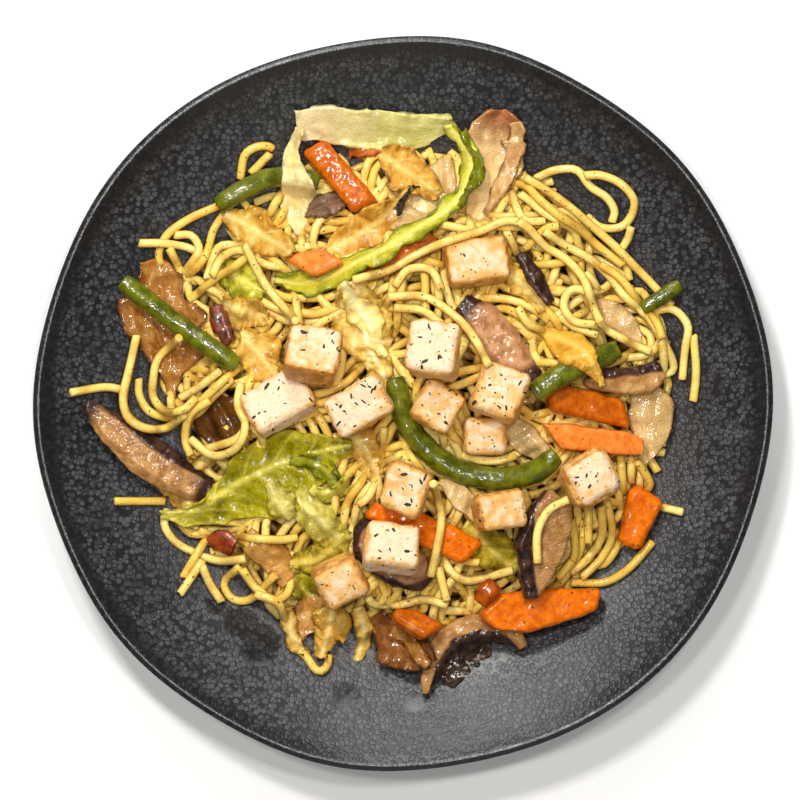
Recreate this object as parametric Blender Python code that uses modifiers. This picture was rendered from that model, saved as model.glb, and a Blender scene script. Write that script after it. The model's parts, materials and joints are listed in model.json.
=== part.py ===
"""Noodles with vegetables and tofu, heaped on a dark coupe plate.

X points right and Y away from the eater; the origin is the middle of the foot ring's underside.
Blender works in metres, and the tables of toppings give millimetres, which MM turns into metres.

The heap is a low core with noodles fused on. Every topping is made about its own middle and then laid
down: a relief map holds the height of whatever is uppermost so far, and each new piece is lowered onto it
until only GAP is left between them. The order in which the pieces are laid is therefore the order in which
they overlap.
"""

import math
import random

import bmesh
import bpy
import numpy as np
from mathutils import Euler, Matrix, Vector
from mathutils.bvhtree import BVHTree

MM = 0.001
GAP = 0.35 * MM

# Plate: a coupe, flat in the middle and rising in one sweep to a rounded lip.
PLATE_RADIUS = 135 * MM
PLATE_HEIGHT = 30 * MM
PLATE_WALL = 4 * MM
PLATE_STEPS = 52
FLOOR_HEIGHT = 7 * MM
FLOOR_RADIUS = 60 * MM
LIP_RADIUS = 132 * MM
LIP_DROP = 0.8 * MM
LIP_CREST = 1.2 * MM
LIP_ROUND = 1.4 * MM
BOWL_CURVE = 2.4
BOWL_POINTS = 5
FOOT_RADIUS = 50 * MM
FOOT_WIDTH = 5 * MM
FOOT_CHAMFER = 1.5 * MM
# The hand-thrown rim's waves: how many round the rim, their share of the radius, their phase in degrees.
RIM_WAVES = ((2, 0.0020, 40), (4, 0.0016, 163), (6, 0.0033, -78), (8, 0.0032, 30), (10, 0.0021, -41))

# Noodle heap.
NOODLE_RADIUS = 1.8 * MM
CORE_RADIUS = 91 * MM
CORE_SHIFT = 5 * MM
CORE_SHIFT_ANGLE = math.radians(25)
CORE_HEIGHT = 21 * MM
CORE_EDGE = 2.5 * MM
CORE_UNDERSIDE = (0.68, 0.84, 1)
CORE_RINGS = 6
CORE_SECTORS = 26
CORE_LUMP = 1.6 * MM
STRAND_STEP = 2.3 * MM
STEPS_PER_SEGMENT = 3
STRAND_SINK = 0.65
SHORTEST_STRAND = 12 * MM
FILL_STRANDS = 38
FILL_TRIES = 2500
SEED = 7

# Relief map.
CELL = 0.5 * MM
HALF_SPAN = 142 * MM
CELLS = int(round(2 * HALF_SPAN / CELL)) + 1
STEEPEST = math.radians(24)


# ---------------------------------------------------------------- helpers


def clear_scene():
    for obj in list(bpy.data.objects):
        bpy.data.objects.remove(obj, do_unlink=True)


def new_collection(name):
    collection = bpy.data.collections.new(name)
    bpy.context.scene.collection.children.link(collection)
    return collection


def material(name, colour, roughness):
    made = bpy.data.materials.new(name)
    made.use_nodes = True
    shader = made.node_tree.nodes["Principled BSDF"]
    shader.inputs["Base Color"].default_value = (*colour, 1)
    shader.inputs["Roughness"].default_value = roughness
    shader.inputs["Metallic"].default_value = 0
    return made


def add_object(name, mesh, surface, collection):
    obj = bpy.data.objects.new(name, mesh)
    if surface:
        mesh.materials.clear()
        mesh.materials.append(surface)
    collection.objects.link(obj)
    return obj


def mesh_from(name, bm):
    mesh = bpy.data.meshes.new(name)
    bm.to_mesh(mesh)
    bm.free()
    return mesh


def evaluated_mesh(obj):
    """A welded copy of the object's mesh with its modifiers applied, in its own coordinates."""
    bpy.context.view_layer.update()
    graph = bpy.context.evaluated_depsgraph_get()
    mesh = bpy.data.meshes.new_from_object(obj.evaluated_get(graph))
    bm = bmesh.new()
    bm.from_mesh(mesh)
    bmesh.ops.remove_doubles(bm, verts=bm.verts, dist=0.01 * MM)
    bm.to_mesh(mesh)
    bm.free()
    return mesh


def apply_modifiers(obj):
    mesh = evaluated_mesh(obj)
    obj.modifiers.clear()
    obj.data = mesh


def catmull_rom(points, count):
    """The smooth curve through the points, at count evenly spaced places along it."""
    points = [np.array(point, float) for point in points]
    ends = [2 * points[0] - points[1], *points, 2 * points[-1] - points[-2]]
    fine = []
    for before, start, end, after in zip(ends, ends[1:], ends[2:], ends[3:]):
        for t in np.linspace(0, 1, 12, endpoint=False):
            fine.append(
                0.5
                * (
                    2 * start
                    + (end - before) * t
                    + (2 * before - 5 * start + 4 * end - after) * t**2
                    + (3 * start - before - 3 * end + after) * t**3
                )
            )
    fine = np.array([*fine, points[-1]])
    along = np.concatenate([[0], np.cumsum(np.linalg.norm(np.diff(fine, axis=0), axis=1))])
    wanted = np.linspace(0, along[-1], count)
    return np.stack([np.interp(wanted, along, axis) for axis in fine.T], axis=1)


def route_length(points):
    return float(np.linalg.norm(np.diff(catmull_rom(points, 60), axis=0), axis=1).sum())


def spread_along(values, count):
    """A short list of values, eased out to count of them."""
    return np.interp(np.linspace(0, 1, count), np.linspace(0, 1, len(values)), values)


def sideways(route):
    """The unit vector to the left of a plan route at each of its points."""
    ahead = np.gradient(np.array(route), axis=0)
    ahead /= np.linalg.norm(ahead, axis=1)[:, None]
    return np.stack([-ahead[:, 1], ahead[:, 0]], axis=1)


def window_max(heights, reach):
    """Each cell's highest neighbour within reach cells, along both axes."""
    for axis in (0, 1):
        best = heights.copy()
        for step in range(1, reach + 1):
            for way in (step, -step):
                best = np.maximum(best, np.roll(heights, way, axis))
        heights = best
    return heights


# ---------------------------------------------------------------- relief


class Relief:
    """Height maps of what has been laid down so far, seen straight from above."""

    def __init__(self):
        shape = (CELLS, CELLS)
        self.height = np.zeros(shape)
        self.topping_low = np.full(shape, np.inf)
        self.topping_high = np.full(shape, -np.inf)

    @staticmethod
    def cell(value):
        return int(np.clip(round((value + HALF_SPAN) / CELL), 0, CELLS - 1))

    @classmethod
    def around(cls, x, y, reach):
        """The square window of cells within reach of a point."""
        cells = int(math.ceil(reach / CELL))
        row, column = cls.cell(y), cls.cell(x)
        rows = slice(max(row - cells, 0), row + cells + 1)
        return rows, slice(max(column - cells, 0), column + cells + 1)

    def maps_of(self, obj):
        """The window of cells that the object covers, with its lowest and highest surface in each."""
        mesh = evaluated_mesh(obj)
        mesh.transform(obj.matrix_world)
        points = [vertex.co.copy() for vertex in mesh.vertices]
        tree = BVHTree.FromPolygons(points, [tuple(face.vertices) for face in mesh.polygons])
        bpy.data.meshes.remove(mesh)
        low = [min(point[axis] for point in points) for axis in (0, 1)]
        high = [max(point[axis] for point in points) for axis in (0, 1)]
        rows = slice(self.cell(low[1]), self.cell(high[1]) + 1)
        columns = slice(self.cell(low[0]), self.cell(high[0]) + 1)
        bottom = np.full((rows.stop - rows.start, columns.stop - columns.start), np.inf)
        top = np.full(bottom.shape, -np.inf)
        for i in range(bottom.shape[0]):
            y = (rows.start + i) * CELL - HALF_SPAN
            for j in range(bottom.shape[1]):
                x = (columns.start + j) * CELL - HALF_SPAN
                above = tree.ray_cast(Vector((x, y, 1)), Vector((0, 0, -1)))[0]
                if above is None:
                    continue
                below = tree.ray_cast(Vector((x, y, -1)), Vector((0, 0, 1)))[0]
                top[i, j] = above.z
                bottom[i, j] = below.z if below else above.z
        return (rows, columns), bottom, top

    def add(self, obj):
        window, _, top = self.maps_of(obj)
        self.height[window] = np.maximum(self.height[window], top)

    def rest(self, obj, follow=False):
        """Lowers a piece until it is GAP above what is under it. follow first tilts it to the slope."""
        if follow:
            self.tilt_to_slope(obj)
        window, bottom, top = self.maps_of(obj)
        under = window_max(self.height, 1)[window]
        drop = np.max(np.where(np.isfinite(bottom), under - bottom, -np.inf)) + GAP
        obj.location.z += drop
        bpy.context.view_layer.update()
        self.height[window] = np.maximum(self.height[window], top + drop)
        self.topping_low[window] = np.minimum(self.topping_low[window], bottom + drop)
        self.topping_high[window] = np.maximum(self.topping_high[window], top + drop)
        return obj

    def tilt_to_slope(self, obj):
        window, bottom, _ = self.maps_of(obj)
        inside = np.isfinite(bottom)
        rows, columns = np.nonzero(inside)
        ones = np.ones(len(rows))
        plan = np.stack([columns * CELL, rows * CELL, ones], axis=1)
        slope_x, slope_y, _ = np.linalg.lstsq(plan, self.height[window][inside], rcond=None)[0]
        steepness = math.hypot(slope_x, slope_y)
        ease = min(1, math.tan(STEEPEST) / max(steepness, 1e-9))
        normal = Vector((-slope_x * ease, -slope_y * ease, 1)).normalized()
        tilt = Vector((0, 0, 1)).rotation_difference(normal)
        obj.rotation_euler = (tilt @ obj.rotation_euler.to_quaternion()).to_euler()
        bpy.context.view_layer.update()

    def highest_near(self, x, y, reach):
        """The highest surface within reach of a point, as a round foot of that size would meet it."""
        return float(self.height[self.around(x, y, reach)].max())


# ---------------------------------------------------------------- plate and core


def bowl_height(radius):
    rise = max(0, (radius - FLOOR_RADIUS) / (LIP_RADIUS - FLOOR_RADIUS))
    return FLOOR_HEIGHT + (PLATE_HEIGHT - LIP_DROP - FLOOR_HEIGHT) * rise**BOWL_CURVE


def bowl_slope(radius):
    step = 0.1 * MM
    return math.atan((bowl_height(radius + step) - bowl_height(radius - step)) / (2 * step))


def rim_factor(angle):
    """How far the rim stands out at this angle, as a share of its mean radius."""
    waves = (share * math.cos(count * angle + math.radians(phase)) for count, share, phase in RIM_WAVES)
    return 1 + sum(waves)


def plate_profile():
    """Radius and height from the middle of the floor, over the lip and down the outside to the foot."""
    inside = [
        FLOOR_RADIUS + (LIP_RADIUS - FLOOR_RADIUS) * step / BOWL_POINTS for step in range(BOWL_POINTS + 1)
    ]
    underside = FLOOR_HEIGHT - PLATE_WALL
    points = [(0, FLOOR_HEIGHT)]
    points += [(radius, bowl_height(radius)) for radius in inside]
    points += [(LIP_RADIUS + LIP_CREST, PLATE_HEIGHT), (PLATE_RADIUS, PLATE_HEIGHT - LIP_ROUND)]
    for radius in reversed(inside):
        lean = bowl_slope(radius)
        points.append(
            (radius + PLATE_WALL * math.sin(lean), bowl_height(radius) - PLATE_WALL * math.cos(lean))
        )
    points += [
        (FOOT_RADIUS + FOOT_CHAMFER, underside),
        (FOOT_RADIUS, 0),
        (FOOT_RADIUS - FOOT_WIDTH, 0),
        (FOOT_RADIUS - FOOT_WIDTH - FOOT_CHAMFER, underside),
        (0, underside),
    ]
    return points


def make_plate(collection, surface):
    bm = bmesh.new()
    points = [bm.verts.new((radius, 0, height)) for radius, height in plate_profile()]
    for start, end in zip(points, points[1:]):
        bm.edges.new((start, end))
    plate = add_object("plate", mesh_from("plate", bm), surface, collection)
    screw = plate.modifiers.new("Turn", "SCREW")
    screw.steps = PLATE_STEPS
    screw.render_steps = PLATE_STEPS
    screw.use_merge_vertices = True
    screw.merge_threshold = 0.01 * MM
    apply_modifiers(plate)
    for vertex in plate.data.vertices:
        x, y, _ = vertex.co
        outward = max(0, (math.hypot(x, y) - FLOOR_RADIUS) / (PLATE_RADIUS - FLOOR_RADIUS))
        factor = 1 + (rim_factor(math.atan2(y, x)) - 1) * outward
        vertex.co.x *= factor
        vertex.co.y *= factor
    plate.data.shade_smooth()
    plate.data.set_sharp_from_angle(angle=math.radians(40))
    return plate


def core_reach(angle):
    """The core's uneven outline: its radius at this angle. It lies a little beside the plate's middle."""
    waves = 0.018 * math.cos(3 * angle + 0.4) + 0.016 * math.cos(5 * angle)
    return CORE_RADIUS * (1 + waves) + CORE_SHIFT * math.cos(angle - CORE_SHIFT_ANGLE)


def core_height(x, y):
    radius = math.hypot(x, y)
    share = min(1, radius / core_reach(math.atan2(y, x)))
    dome = FLOOR_HEIGHT + CORE_EDGE + (CORE_HEIGHT - CORE_EDGE) * (1 - share**2.2) ** 0.85
    lumps = CORE_LUMP * math.sin(x / (9 * MM) + 1) * math.sin(y / (8 * MM)) * (1 - share)
    return max(dome + lumps, bowl_height(radius) + CORE_EDGE)


def make_core(collection, surface):
    """A lofted dome: rings of the wavy outline over the plate, closed by the same rings on its surface."""
    bm = bmesh.new()

    def ring(share, height_at):
        made = []
        for sector in range(CORE_SECTORS):
            angle = math.tau * sector / CORE_SECTORS
            x = core_reach(angle) * share * math.cos(angle)
            y = core_reach(angle) * share * math.sin(angle)
            made.append(bm.verts.new((x, y, height_at(x, y))))
        return made

    shares = [1 - step / CORE_RINGS for step in range(CORE_RINGS)]
    under = [ring(share, lambda x, y: bowl_height(math.hypot(x, y)) + GAP) for share in CORE_UNDERSIDE]
    rings = under + [ring(share, core_height) for share in shares]
    bm.faces.new(list(reversed(rings[0])))
    for lower, upper in zip(rings, rings[1:]):
        for k in range(CORE_SECTORS):
            following = (k + 1) % CORE_SECTORS
            bm.faces.new((lower[k], lower[following], upper[following], upper[k]))
    bm.faces.new(rings[-1])
    bmesh.ops.triangulate(bm, faces=bm.faces)
    bmesh.ops.recalc_face_normals(bm, faces=bm.faces)
    return add_object("noodles", mesh_from("noodles", bm), surface, collection)


# ---------------------------------------------------------------- kinds of topping


class Kitchen:
    """Makes each kind of topping and lays it on the relief."""

    def __init__(self, relief, collection):
        self.relief = relief
        self.collection = collection

    def place(self, obj, x, y, turn=0, tip=(0, 0)):
        obj.location = (x * MM, y * MM, 0)
        obj.rotation_euler = Euler((math.radians(tip[0]), math.radians(tip[1]), math.radians(turn)))
        bpy.context.view_layer.update()
        return obj

    def bevel(self, obj, width):
        modifier = obj.modifiers.new("Rounded edges", "BEVEL")
        modifier.width = width * MM
        modifier.segments = 1
        modifier.limit_method = "ANGLE"
        modifier.angle_limit = math.radians(35)

    def block(self, name, at, size, turn, surface, tip=(0, 0), skew=0, edge=1.4, follow=False):
        """A hand-cut block: a cube of this length, width and height with uneven corners. skew slants its
        ends."""
        draw = random.Random(f"{name}{SEED}")
        bm = bmesh.new()
        bmesh.ops.create_cube(bm, size=1)
        for vertex in bm.verts:
            uneven = [1 + draw.uniform(-0.045, 0.045) for _ in range(3)]
            x, y, z = (c * s * u for c, s, u in zip(vertex.co, size, uneven))
            vertex.co = (x * MM, y * MM, z * MM)
            vertex.co.x += skew * vertex.co.y
        obj = add_object(name, mesh_from(name, bm), surface, self.collection)
        self.bevel(obj, edge)
        self.place(obj, *at, turn, tip)
        return self.relief.rest(obj, follow)

    def slab(self, name, outline, height, surface, edge=1.2, tip=(0, 0)):
        """A slice with this outline in plan, cut this thick."""
        middle = np.mean(outline, axis=0)
        curve = bpy.data.curves.new(name, "CURVE")
        curve.dimensions = "2D"
        curve.fill_mode = "BOTH"
        curve.extrude = height * MM / 2
        spline = curve.splines.new("POLY")
        spline.points.add(len(outline) - 1)
        for point, place in zip(spline.points, (np.array(outline) - middle) * MM):
            point.co = (*place, 0, 1)
        spline.use_cyclic_u = True
        guide = add_object(f"{name}_outline", curve, None, self.collection)
        mesh = evaluated_mesh(guide)
        bpy.data.objects.remove(guide, do_unlink=True)
        obj = add_object(name, mesh, surface, self.collection)
        self.bevel(obj, edge)
        self.place(obj, *middle, 0, tip)
        return self.relief.rest(obj, follow=True)

    def log(self, name, route, widths, heights, surface, stations=8, arch=0, follow=True):
        """A lofted piece with rounded rectangular sections of these widths and heights along a plan route.
        arch lifts its middle."""
        middle = np.mean(route, axis=0)
        spine = catmull_rom((np.array(route) - middle) * MM, stations)
        across = sideways(spine)
        half_widths = spread_along(widths, stations) * MM / 2
        half_heights = spread_along(heights, stations) * MM / 2
        upper = ((1, -0.45), (1, 0.45), (0.6, 1), (-0.6, 1))
        lower = ((-1, 0.45), (-1, -0.45), (-0.6, -1), (0.6, -1))
        corners = upper + lower
        bm = bmesh.new()
        rings = []
        for i in range(stations):
            lift = arch * MM * math.sin(math.pi * i / (stations - 1))
            ring = []
            for sideward, upward in corners:
                x, y = spine[i] + across[i] * half_widths[i] * sideward
                ring.append(bm.verts.new((x, y, half_heights[i] * upward + lift)))
            rings.append(ring)
        for first, second in zip(rings, rings[1:]):
            for k in range(len(corners)):
                following = (k + 1) % len(corners)
                bm.faces.new((first[k], first[following], second[following], second[k]))
        bm.faces.new(rings[0])
        bm.faces.new(rings[-1])
        bmesh.ops.triangulate(bm, faces=bm.faces)
        bmesh.ops.recalc_face_normals(bm, faces=bm.faces)
        obj = add_object(name, mesh_from(name, bm), surface, self.collection)
        self.place(obj, *middle)
        return self.relief.rest(obj, follow)

    def bean(self, name, route, diameter, surface, points=10):
        """A length of green bean, bent over what it lies on."""
        middle = np.mean(route, axis=0) * MM
        radius = diameter * MM / 2
        spine = catmull_rom(np.array(route) * MM, points)
        heights = np.array([self.relief.highest_near(x, y, radius) for x, y in spine])
        for _ in range(6):
            around = (np.roll(heights, 1) + np.roll(heights, -1)) / 2
            heights[1:-1] = np.maximum(heights, around)[1:-1]
        curve = bpy.data.curves.new(name, "CURVE")
        curve.dimensions = "3D"
        curve.bevel_depth = radius
        curve.bevel_resolution = 2
        curve.use_fill_caps = True
        spline = curve.splines.new("POLY")
        spline.points.add(points - 1)
        for i, point in enumerate(spline.points):
            x, y = spine[i] - middle
            point.co = (x, y, heights[i] - heights.mean(), 1)
            point.radius = 0.82 if i in (0, points - 1) else 1
        obj = add_object(name, curve, surface, self.collection)
        obj.location = (*middle, 0)
        return self.relief.rest(obj)

    def leaf(self, name, spine, widths, surface, rows=8, columns=3, wave=1.5, waves=2.5, lean=0, cup=0,
             thick=1.0):
        """A thin wavy sheet draped over what is under it. widths run along the spine from its start; lean
        lifts the left edge and cup both edges, and wave is the height of the ripples along the edges."""
        draw = random.Random(f"{name}{SEED}")
        phase = draw.uniform(0, math.tau)
        middle = np.mean(spine, axis=0) * MM
        line = catmull_rom(np.array(spine) * MM, rows + 1)
        across = sideways(line)
        half_widths = spread_along(widths, rows + 1) * MM / 2
        places = np.zeros((rows + 1, columns + 1, 3))
        for i in range(rows + 1):
            for j in range(columns + 1):
                side = 2 * j / columns - 1
                x, y = line[i] + across[i] * half_widths[i] * side
                ground = self.relief.highest_near(x, y, 2 * MM)
                places[i, j] = x, y, ground
        ground = places[:, :, 2].copy()
        for _ in range(4):
            padded = np.pad(places[:, :, 2], 1, mode="edge")
            around = (padded[:-2, 1:-1] + padded[2:, 1:-1] + padded[1:-1, :-2] + padded[1:-1, 2:]) / 4
            places[:, :, 2] = np.maximum(ground, around)
        for i in range(rows + 1):
            for j in range(columns + 1):
                side = 2 * j / columns - 1
                ripple = math.sin(math.tau * waves * i / rows + phase + 1.3 * side)
                lift = wave * ripple * (0.3 + 0.7 * abs(side)) + lean * side + cup * side**2
                places[i, j, 2] += lift * MM
        bm = bmesh.new()
        verts = [[bm.verts.new(place - [*middle, 0]) for place in row] for row in places]
        for i in range(rows):
            for j in range(columns):
                a, b, c, d = verts[i][j], verts[i + 1][j], verts[i + 1][j + 1], verts[i][j + 1]
                cut = ((a, b, c), (a, c, d)) if (i + j) % 2 else ((a, b, d), (b, c, d))
                for corners in cut:
                    bm.faces.new(corners)
        obj = add_object(name, mesh_from(name, bm), surface, self.collection)
        shell = obj.modifiers.new("Thickness", "SOLIDIFY")
        shell.thickness = thick * MM
        shell.offset = 0
        obj.location = (*middle, 0)
        return self.relief.rest(obj)


# ---------------------------------------------------------------- noodles


class Heap:
    """Noodles laid over the core and round the toppings, then fused into one solid with the core."""

    def __init__(self, core, relief, core_map, plate_map):
        self.core = core
        self.relief = relief
        self.noodle_map = core_map
        self.plate_map = plate_map
        self.strands = bpy.data.collections.new("noodle_strands")
        bpy.context.scene.collection.children.link(self.strands)

    def heights_along(self, line):
        """Centre heights: sunk a little into the noodles below, but clear of the plate."""
        heights = []
        for x, y in line:
            window = Relief.around(x, y, NOODLE_RADIUS)
            on_noodles = self.noodle_map[window].max() + NOODLE_RADIUS * (1 - STRAND_SINK)
            on_plate = self.plate_map[window].max() + NOODLE_RADIUS + 2 * GAP
            heights.append(max(on_noodles, on_plate))
        heights = np.array(heights)
        floor = heights.copy()
        for _ in range(5):
            around = np.convolve(np.pad(heights, 1, mode="edge"), (0.25, 0.5, 0.25), mode="valid")
            heights = np.maximum(floor, around)
        return heights

    def free(self, x, y, height):
        """Whether a noodle centred here stays clear of every topping."""
        reach = NOODLE_RADIUS + 2 * GAP
        window = Relief.around(x, y, reach)
        above = self.relief.topping_low[window] > height + reach
        below = self.relief.topping_high[window] < height - reach
        return bool(np.all(above | below))

    def runs_of(self, line, heights):
        """The stretches of a noodle that are clear of the toppings."""
        runs, current = [], []
        for (x, y), height in zip(line, heights):
            if self.free(x, y, height):
                current.append((x, y, height))
                continue
            runs.append(current)
            current = []
        runs.append(current)
        return [run for run in runs if (len(run) - 1) * STRAND_STEP >= SHORTEST_STRAND]

    def lay(self, route, shortest=SHORTEST_STRAND):
        """Lays one noodle along a plan route in metres, and says how many stretches of it were laid."""
        line = catmull_rom(route, max(4, int(route_length(route) / STRAND_STEP) + 1))
        runs = self.runs_of(line, self.heights_along(line))
        runs = [run for run in runs if (len(run) - 1) * STRAND_STEP >= shortest]
        for run in runs:
            self.add_strand(run)
        return len(runs)

    def add_strand(self, run):
        thinned = [*run[:-1:STEPS_PER_SEGMENT], run[-1]]
        curve = bpy.data.curves.new("strand", "CURVE")
        curve.dimensions = "3D"
        curve.bevel_depth = NOODLE_RADIUS
        curve.bevel_resolution = 1
        curve.use_fill_caps = True
        spline = curve.splines.new("POLY")
        spline.points.add(len(thinned) - 1)
        for point, place in zip(spline.points, thinned):
            point.co = (*place, 1)
        guide = add_object("strand_curve", curve, None, self.strands)
        mesh = evaluated_mesh(guide)
        bpy.data.objects.remove(guide, do_unlink=True)
        add_object("strand", mesh, None, self.strands)
        for x, y, height in run:
            rows, columns = window = Relief.around(x, y, NOODLE_RADIUS)
            across = np.arange(columns.start, columns.stop) * CELL - HALF_SPAN - x
            along = np.arange(rows.start, rows.stop) * CELL - HALF_SPAN - y
            distance = across[None, :] ** 2 + along[:, None] ** 2
            top = height + np.sqrt(np.maximum(NOODLE_RADIUS**2 - distance, 0))
            top = np.where(distance < NOODLE_RADIUS**2, top, -np.inf)
            patch = self.noodle_map[window]
            self.noodle_map[window] = np.maximum(patch, top)

    def fill(self, draw):
        """Noodles in seeded random curves over whatever of the core is still bare."""
        laid = 0
        for _ in range(FILL_TRIES):
            if laid >= FILL_STRANDS:
                break
            angle, share = draw.uniform(0, math.tau), math.sqrt(draw.uniform(0.02, 0.9))
            x, y = (core_reach(angle) * share * f(angle) for f in (math.cos, math.sin))
            heading, bend = draw.uniform(0, math.tau), draw.uniform(-0.35, 0.35)
            route = []
            for _ in range(draw.randint(5, 8)):
                route.append((x, y))
                x += 10 * MM * math.cos(heading)
                y += 10 * MM * math.sin(heading)
                heading += bend + draw.uniform(-0.2, 0.2)
            inside = [math.hypot(*p) < core_reach(math.atan2(p[1], p[0])) for p in route]
            if all(inside):
                laid += self.lay(route, shortest=2 * SHORTEST_STRAND)

    def fuse(self):
        """Joins the noodles to the core, and drops any scrap that doesn't touch it. The EXACT solver loses
        most of so many crossing tubes."""
        union = self.core.modifiers.new("Fused noodles", "BOOLEAN")
        union.operation = "UNION"
        union.operand_type = "COLLECTION"
        union.collection = self.strands
        union.solver = "MANIFOLD"
        apply_modifiers(self.core)
        for obj in list(self.strands.objects):
            bpy.data.objects.remove(obj, do_unlink=True)
        bpy.data.collections.remove(self.strands)
        keep_largest_body(self.core.data)


def keep_largest_body(mesh):
    bm = bmesh.new()
    bm.from_mesh(mesh)
    bm.verts.ensure_lookup_table()
    waiting, bodies = set(bm.verts), []
    while waiting:
        body, edge = set(), [waiting.pop()]
        while edge:
            vertex = edge.pop()
            body.add(vertex)
            for link in vertex.link_edges:
                other = link.other_vert(vertex)
                if other in waiting:
                    waiting.remove(other)
                    edge.append(other)
        bodies.append(body)
    largest = max(bodies, key=len)
    scraps = [vertex for body in bodies if body is not largest for vertex in body]
    bmesh.ops.delete(bm, geom=scraps, context="VERTS")
    bm.to_mesh(mesh)
    bm.free()


# ---------------------------------------------------------------- toppings, from the lowest up


def lay_onions_and_edges(kitchen, paint):
    """What lies lowest: onion petals, and the pieces round the edge of the heap."""
    onion, brown = paint["onion"], paint["browned_onion"]
    carrot, mushroom, bean = paint["carrot"], paint["mushroom"], paint["bean"]
    kitchen.leaf("onion_4", [(-90, 50), (-88, 32), (-82, 8)], (16, 34, 18), brown, rows=6, cup=2,
                 thick=1.6)
    kitchen.leaf("onion_1", [(36, 104), (40, 97), (33, 84), (26, 69)], (14, 20, 17, 12, 5), onion, cup=3,
                 wave=0.6, thick=1.8)
    kitchen.leaf("onion_2", [(-5, 83), (8, 76), (20, 70)], (6, 12, 6), onion, rows=5, thick=1.4)
    kitchen.leaf("onion_3", [(91, 4), (93, -8), (92, -23)], (17, 18, 12, 2), onion, rows=6, cup=-2,
                 wave=0.5, thick=1.8)
    kitchen.leaf("onion_5", [(71, 37), (80, 30), (87, 21)], (7, 12, 6), onion, rows=5, thick=1.4)
    kitchen.bean("bean_5", [(88, 35), (95, 39), (102, 44)], 6, bean, points=5)
    kitchen.log("mushroom_1", [(-117, 0), (-106, -10), (-92, -21), (-79, -29), (-71, -32)],
                (5, 12, 15.5, 14, 9), (4, 7, 8, 8, 6), mushroom, stations=9)
    kitchen.slab("mushroom_6", [(-12, -38), (-18, -45), (-18, -54), (-14, -61), (-5, -67), (4, -69),
                                (9, -68), (11, -63), (8, -55), (-2, -45)], 5.5, mushroom)
    kitchen.block("carrot_8", (7.5, -46), (41, 11, 7.5), -26, carrot, skew=0.3, follow=True)
    kitchen.log("mushroom_5", [(8, -107), (11, -96), (18, -86), (28, -82), (39, -84), (44, -90)],
                (3, 8, 10, 10, 9, 5), (4, 6, 7, 7, 6, 4), mushroom, stations=11)
    kitchen.leaf("onion_6", [(-10, -78), (-2, -87), (10, -96)], (8, 19, 20, 9), brown, rows=6, cup=3.5,
                 thick=1.6)
    kitchen.slab("carrot_9", [(-4, -76), (5, -76), (15, -82), (7, -87), (-4, -80)], 7, carrot)
    kitchen.slab("carrot_7", [(27, -77), (35, -70), (50, -68), (73, -68), (71, -76), (57, -81), (45, -84),
                              (33, -83)], 9, carrot, edge=1.5)
    kitchen.slab("mushroom_4", [(53, -31), (46, -38), (41, -50), (42, -61), (44, -72), (49, -71), (54, -65),
                                (59, -55), (62, -45), (61, -36)], 7, mushroom)
    kitchen.slab("carrot_6", [(86, -29), (96, -36), (87, -54), (79, -51), (83, -32)], 9, carrot, edge=1.5)
    kitchen.log("mushroom_2", [(21, 37), (29, 30), (38, 19), (44, 11), (49, 8)], (8, 14, 16, 13, 8),
                (6, 8, 8, 7, 5), mushroom, stations=9)
    kitchen.block("carrot_4", (67.5, -0.5), (31, 10, 8), -13, carrot, skew=-0.5, follow=True)
    kitchen.slab("carrot_5", [(50, -7), (57, -16), (73, -18), (88, -19), (88, -13), (82, -10.5),
                              (60, -7.5)], 9, carrot, edge=1.5)
    kitchen.slab("mushroom_3", [(66, 9), (72, 12), (83, 13), (94, 16), (97, 9), (92, 4), (82, 3),
                                (72, 4.5), (66, 6)], 7, mushroom)
    kitchen.bean("bean_4", [(48, 4), (59, 11), (70, 16), (79, 20)], 8.8, bean, points=8)
    kitchen.leaf("leaf_14", [(51, 25), (60, 22), (68, 16), (72, 7)], (1, 10, 12, 9, 1),
                 paint["yellow_leaf"], wave=1)
    kitchen.log("mushroom_7", [(43, 55), (48, 47), (54, 37)], (4, 7, 4), (3, 4, 3), mushroom, stations=5)


def lay_upper_side(kitchen, paint):
    """The side away from the eater: carrot, cabbage stem and the long curled strip."""
    carrot = paint["carrot"]
    green, yellow, pale = paint["green_leaf"], paint["yellow_leaf"], paint["stem"]
    kitchen.block("carrot_1", (-23, 83), (30, 10, 8), -50, carrot, skew=0.2, follow=True)
    kitchen.log("leaf_1", [(-38, 104), (-19, 103), (-1, 101), (17, 99)], (11, 12, 12, 11), (3, 4, 4, 3),
                pale, stations=8)
    kitchen.leaf("leaf_3", [(-40, 103), (-43, 90), (-38, 79), (-40, 61)], (4, 6, 10, 8, 2), pale, wave=0.8)
    kitchen.leaf("leaf_5", [(-9, 92), (2, 85), (13, 77)], (9, 15, 13, 8), yellow, rows=7, wave=2.2,
                 waves=3)
    kitchen.leaf("leaf_4", [(-25, 57), (-10, 66), (2, 76)], (5, 10, 9, 5), yellow, rows=6)
    kitchen.block("carrot_3", (-2, 54.5), (29, 8, 7), 27, carrot, skew=-0.3, follow=True)
    kitchen.leaf("leaf_2", [(17, 102), (25, 90), (21, 76), (5, 64), (-14, 53), (-34, 44), (-47, 45)],
                 (5, 9, 9, 8, 8, 9, 8, 3), green, rows=14, columns=2, wave=0.8, waves=4, lean=2.5, thick=1.8)
    kitchen.slab("carrot_2", [(-44, 53), (-38, 56), (-29, 56), (-21, 51), (-32, 46)], 4, carrot)
    kitchen.leaf("leaf_8", [(-66, 70), (-53, 63), (-41, 55)], (8, 13, 12, 6), yellow, rows=7, wave=2,
                 waves=3)
    kitchen.bean("bean_1", [(-68, 73), (-60, 78), (-49, 83), (-38, 83), (-31, 81)], 7.7, paint["bean"])


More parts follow.
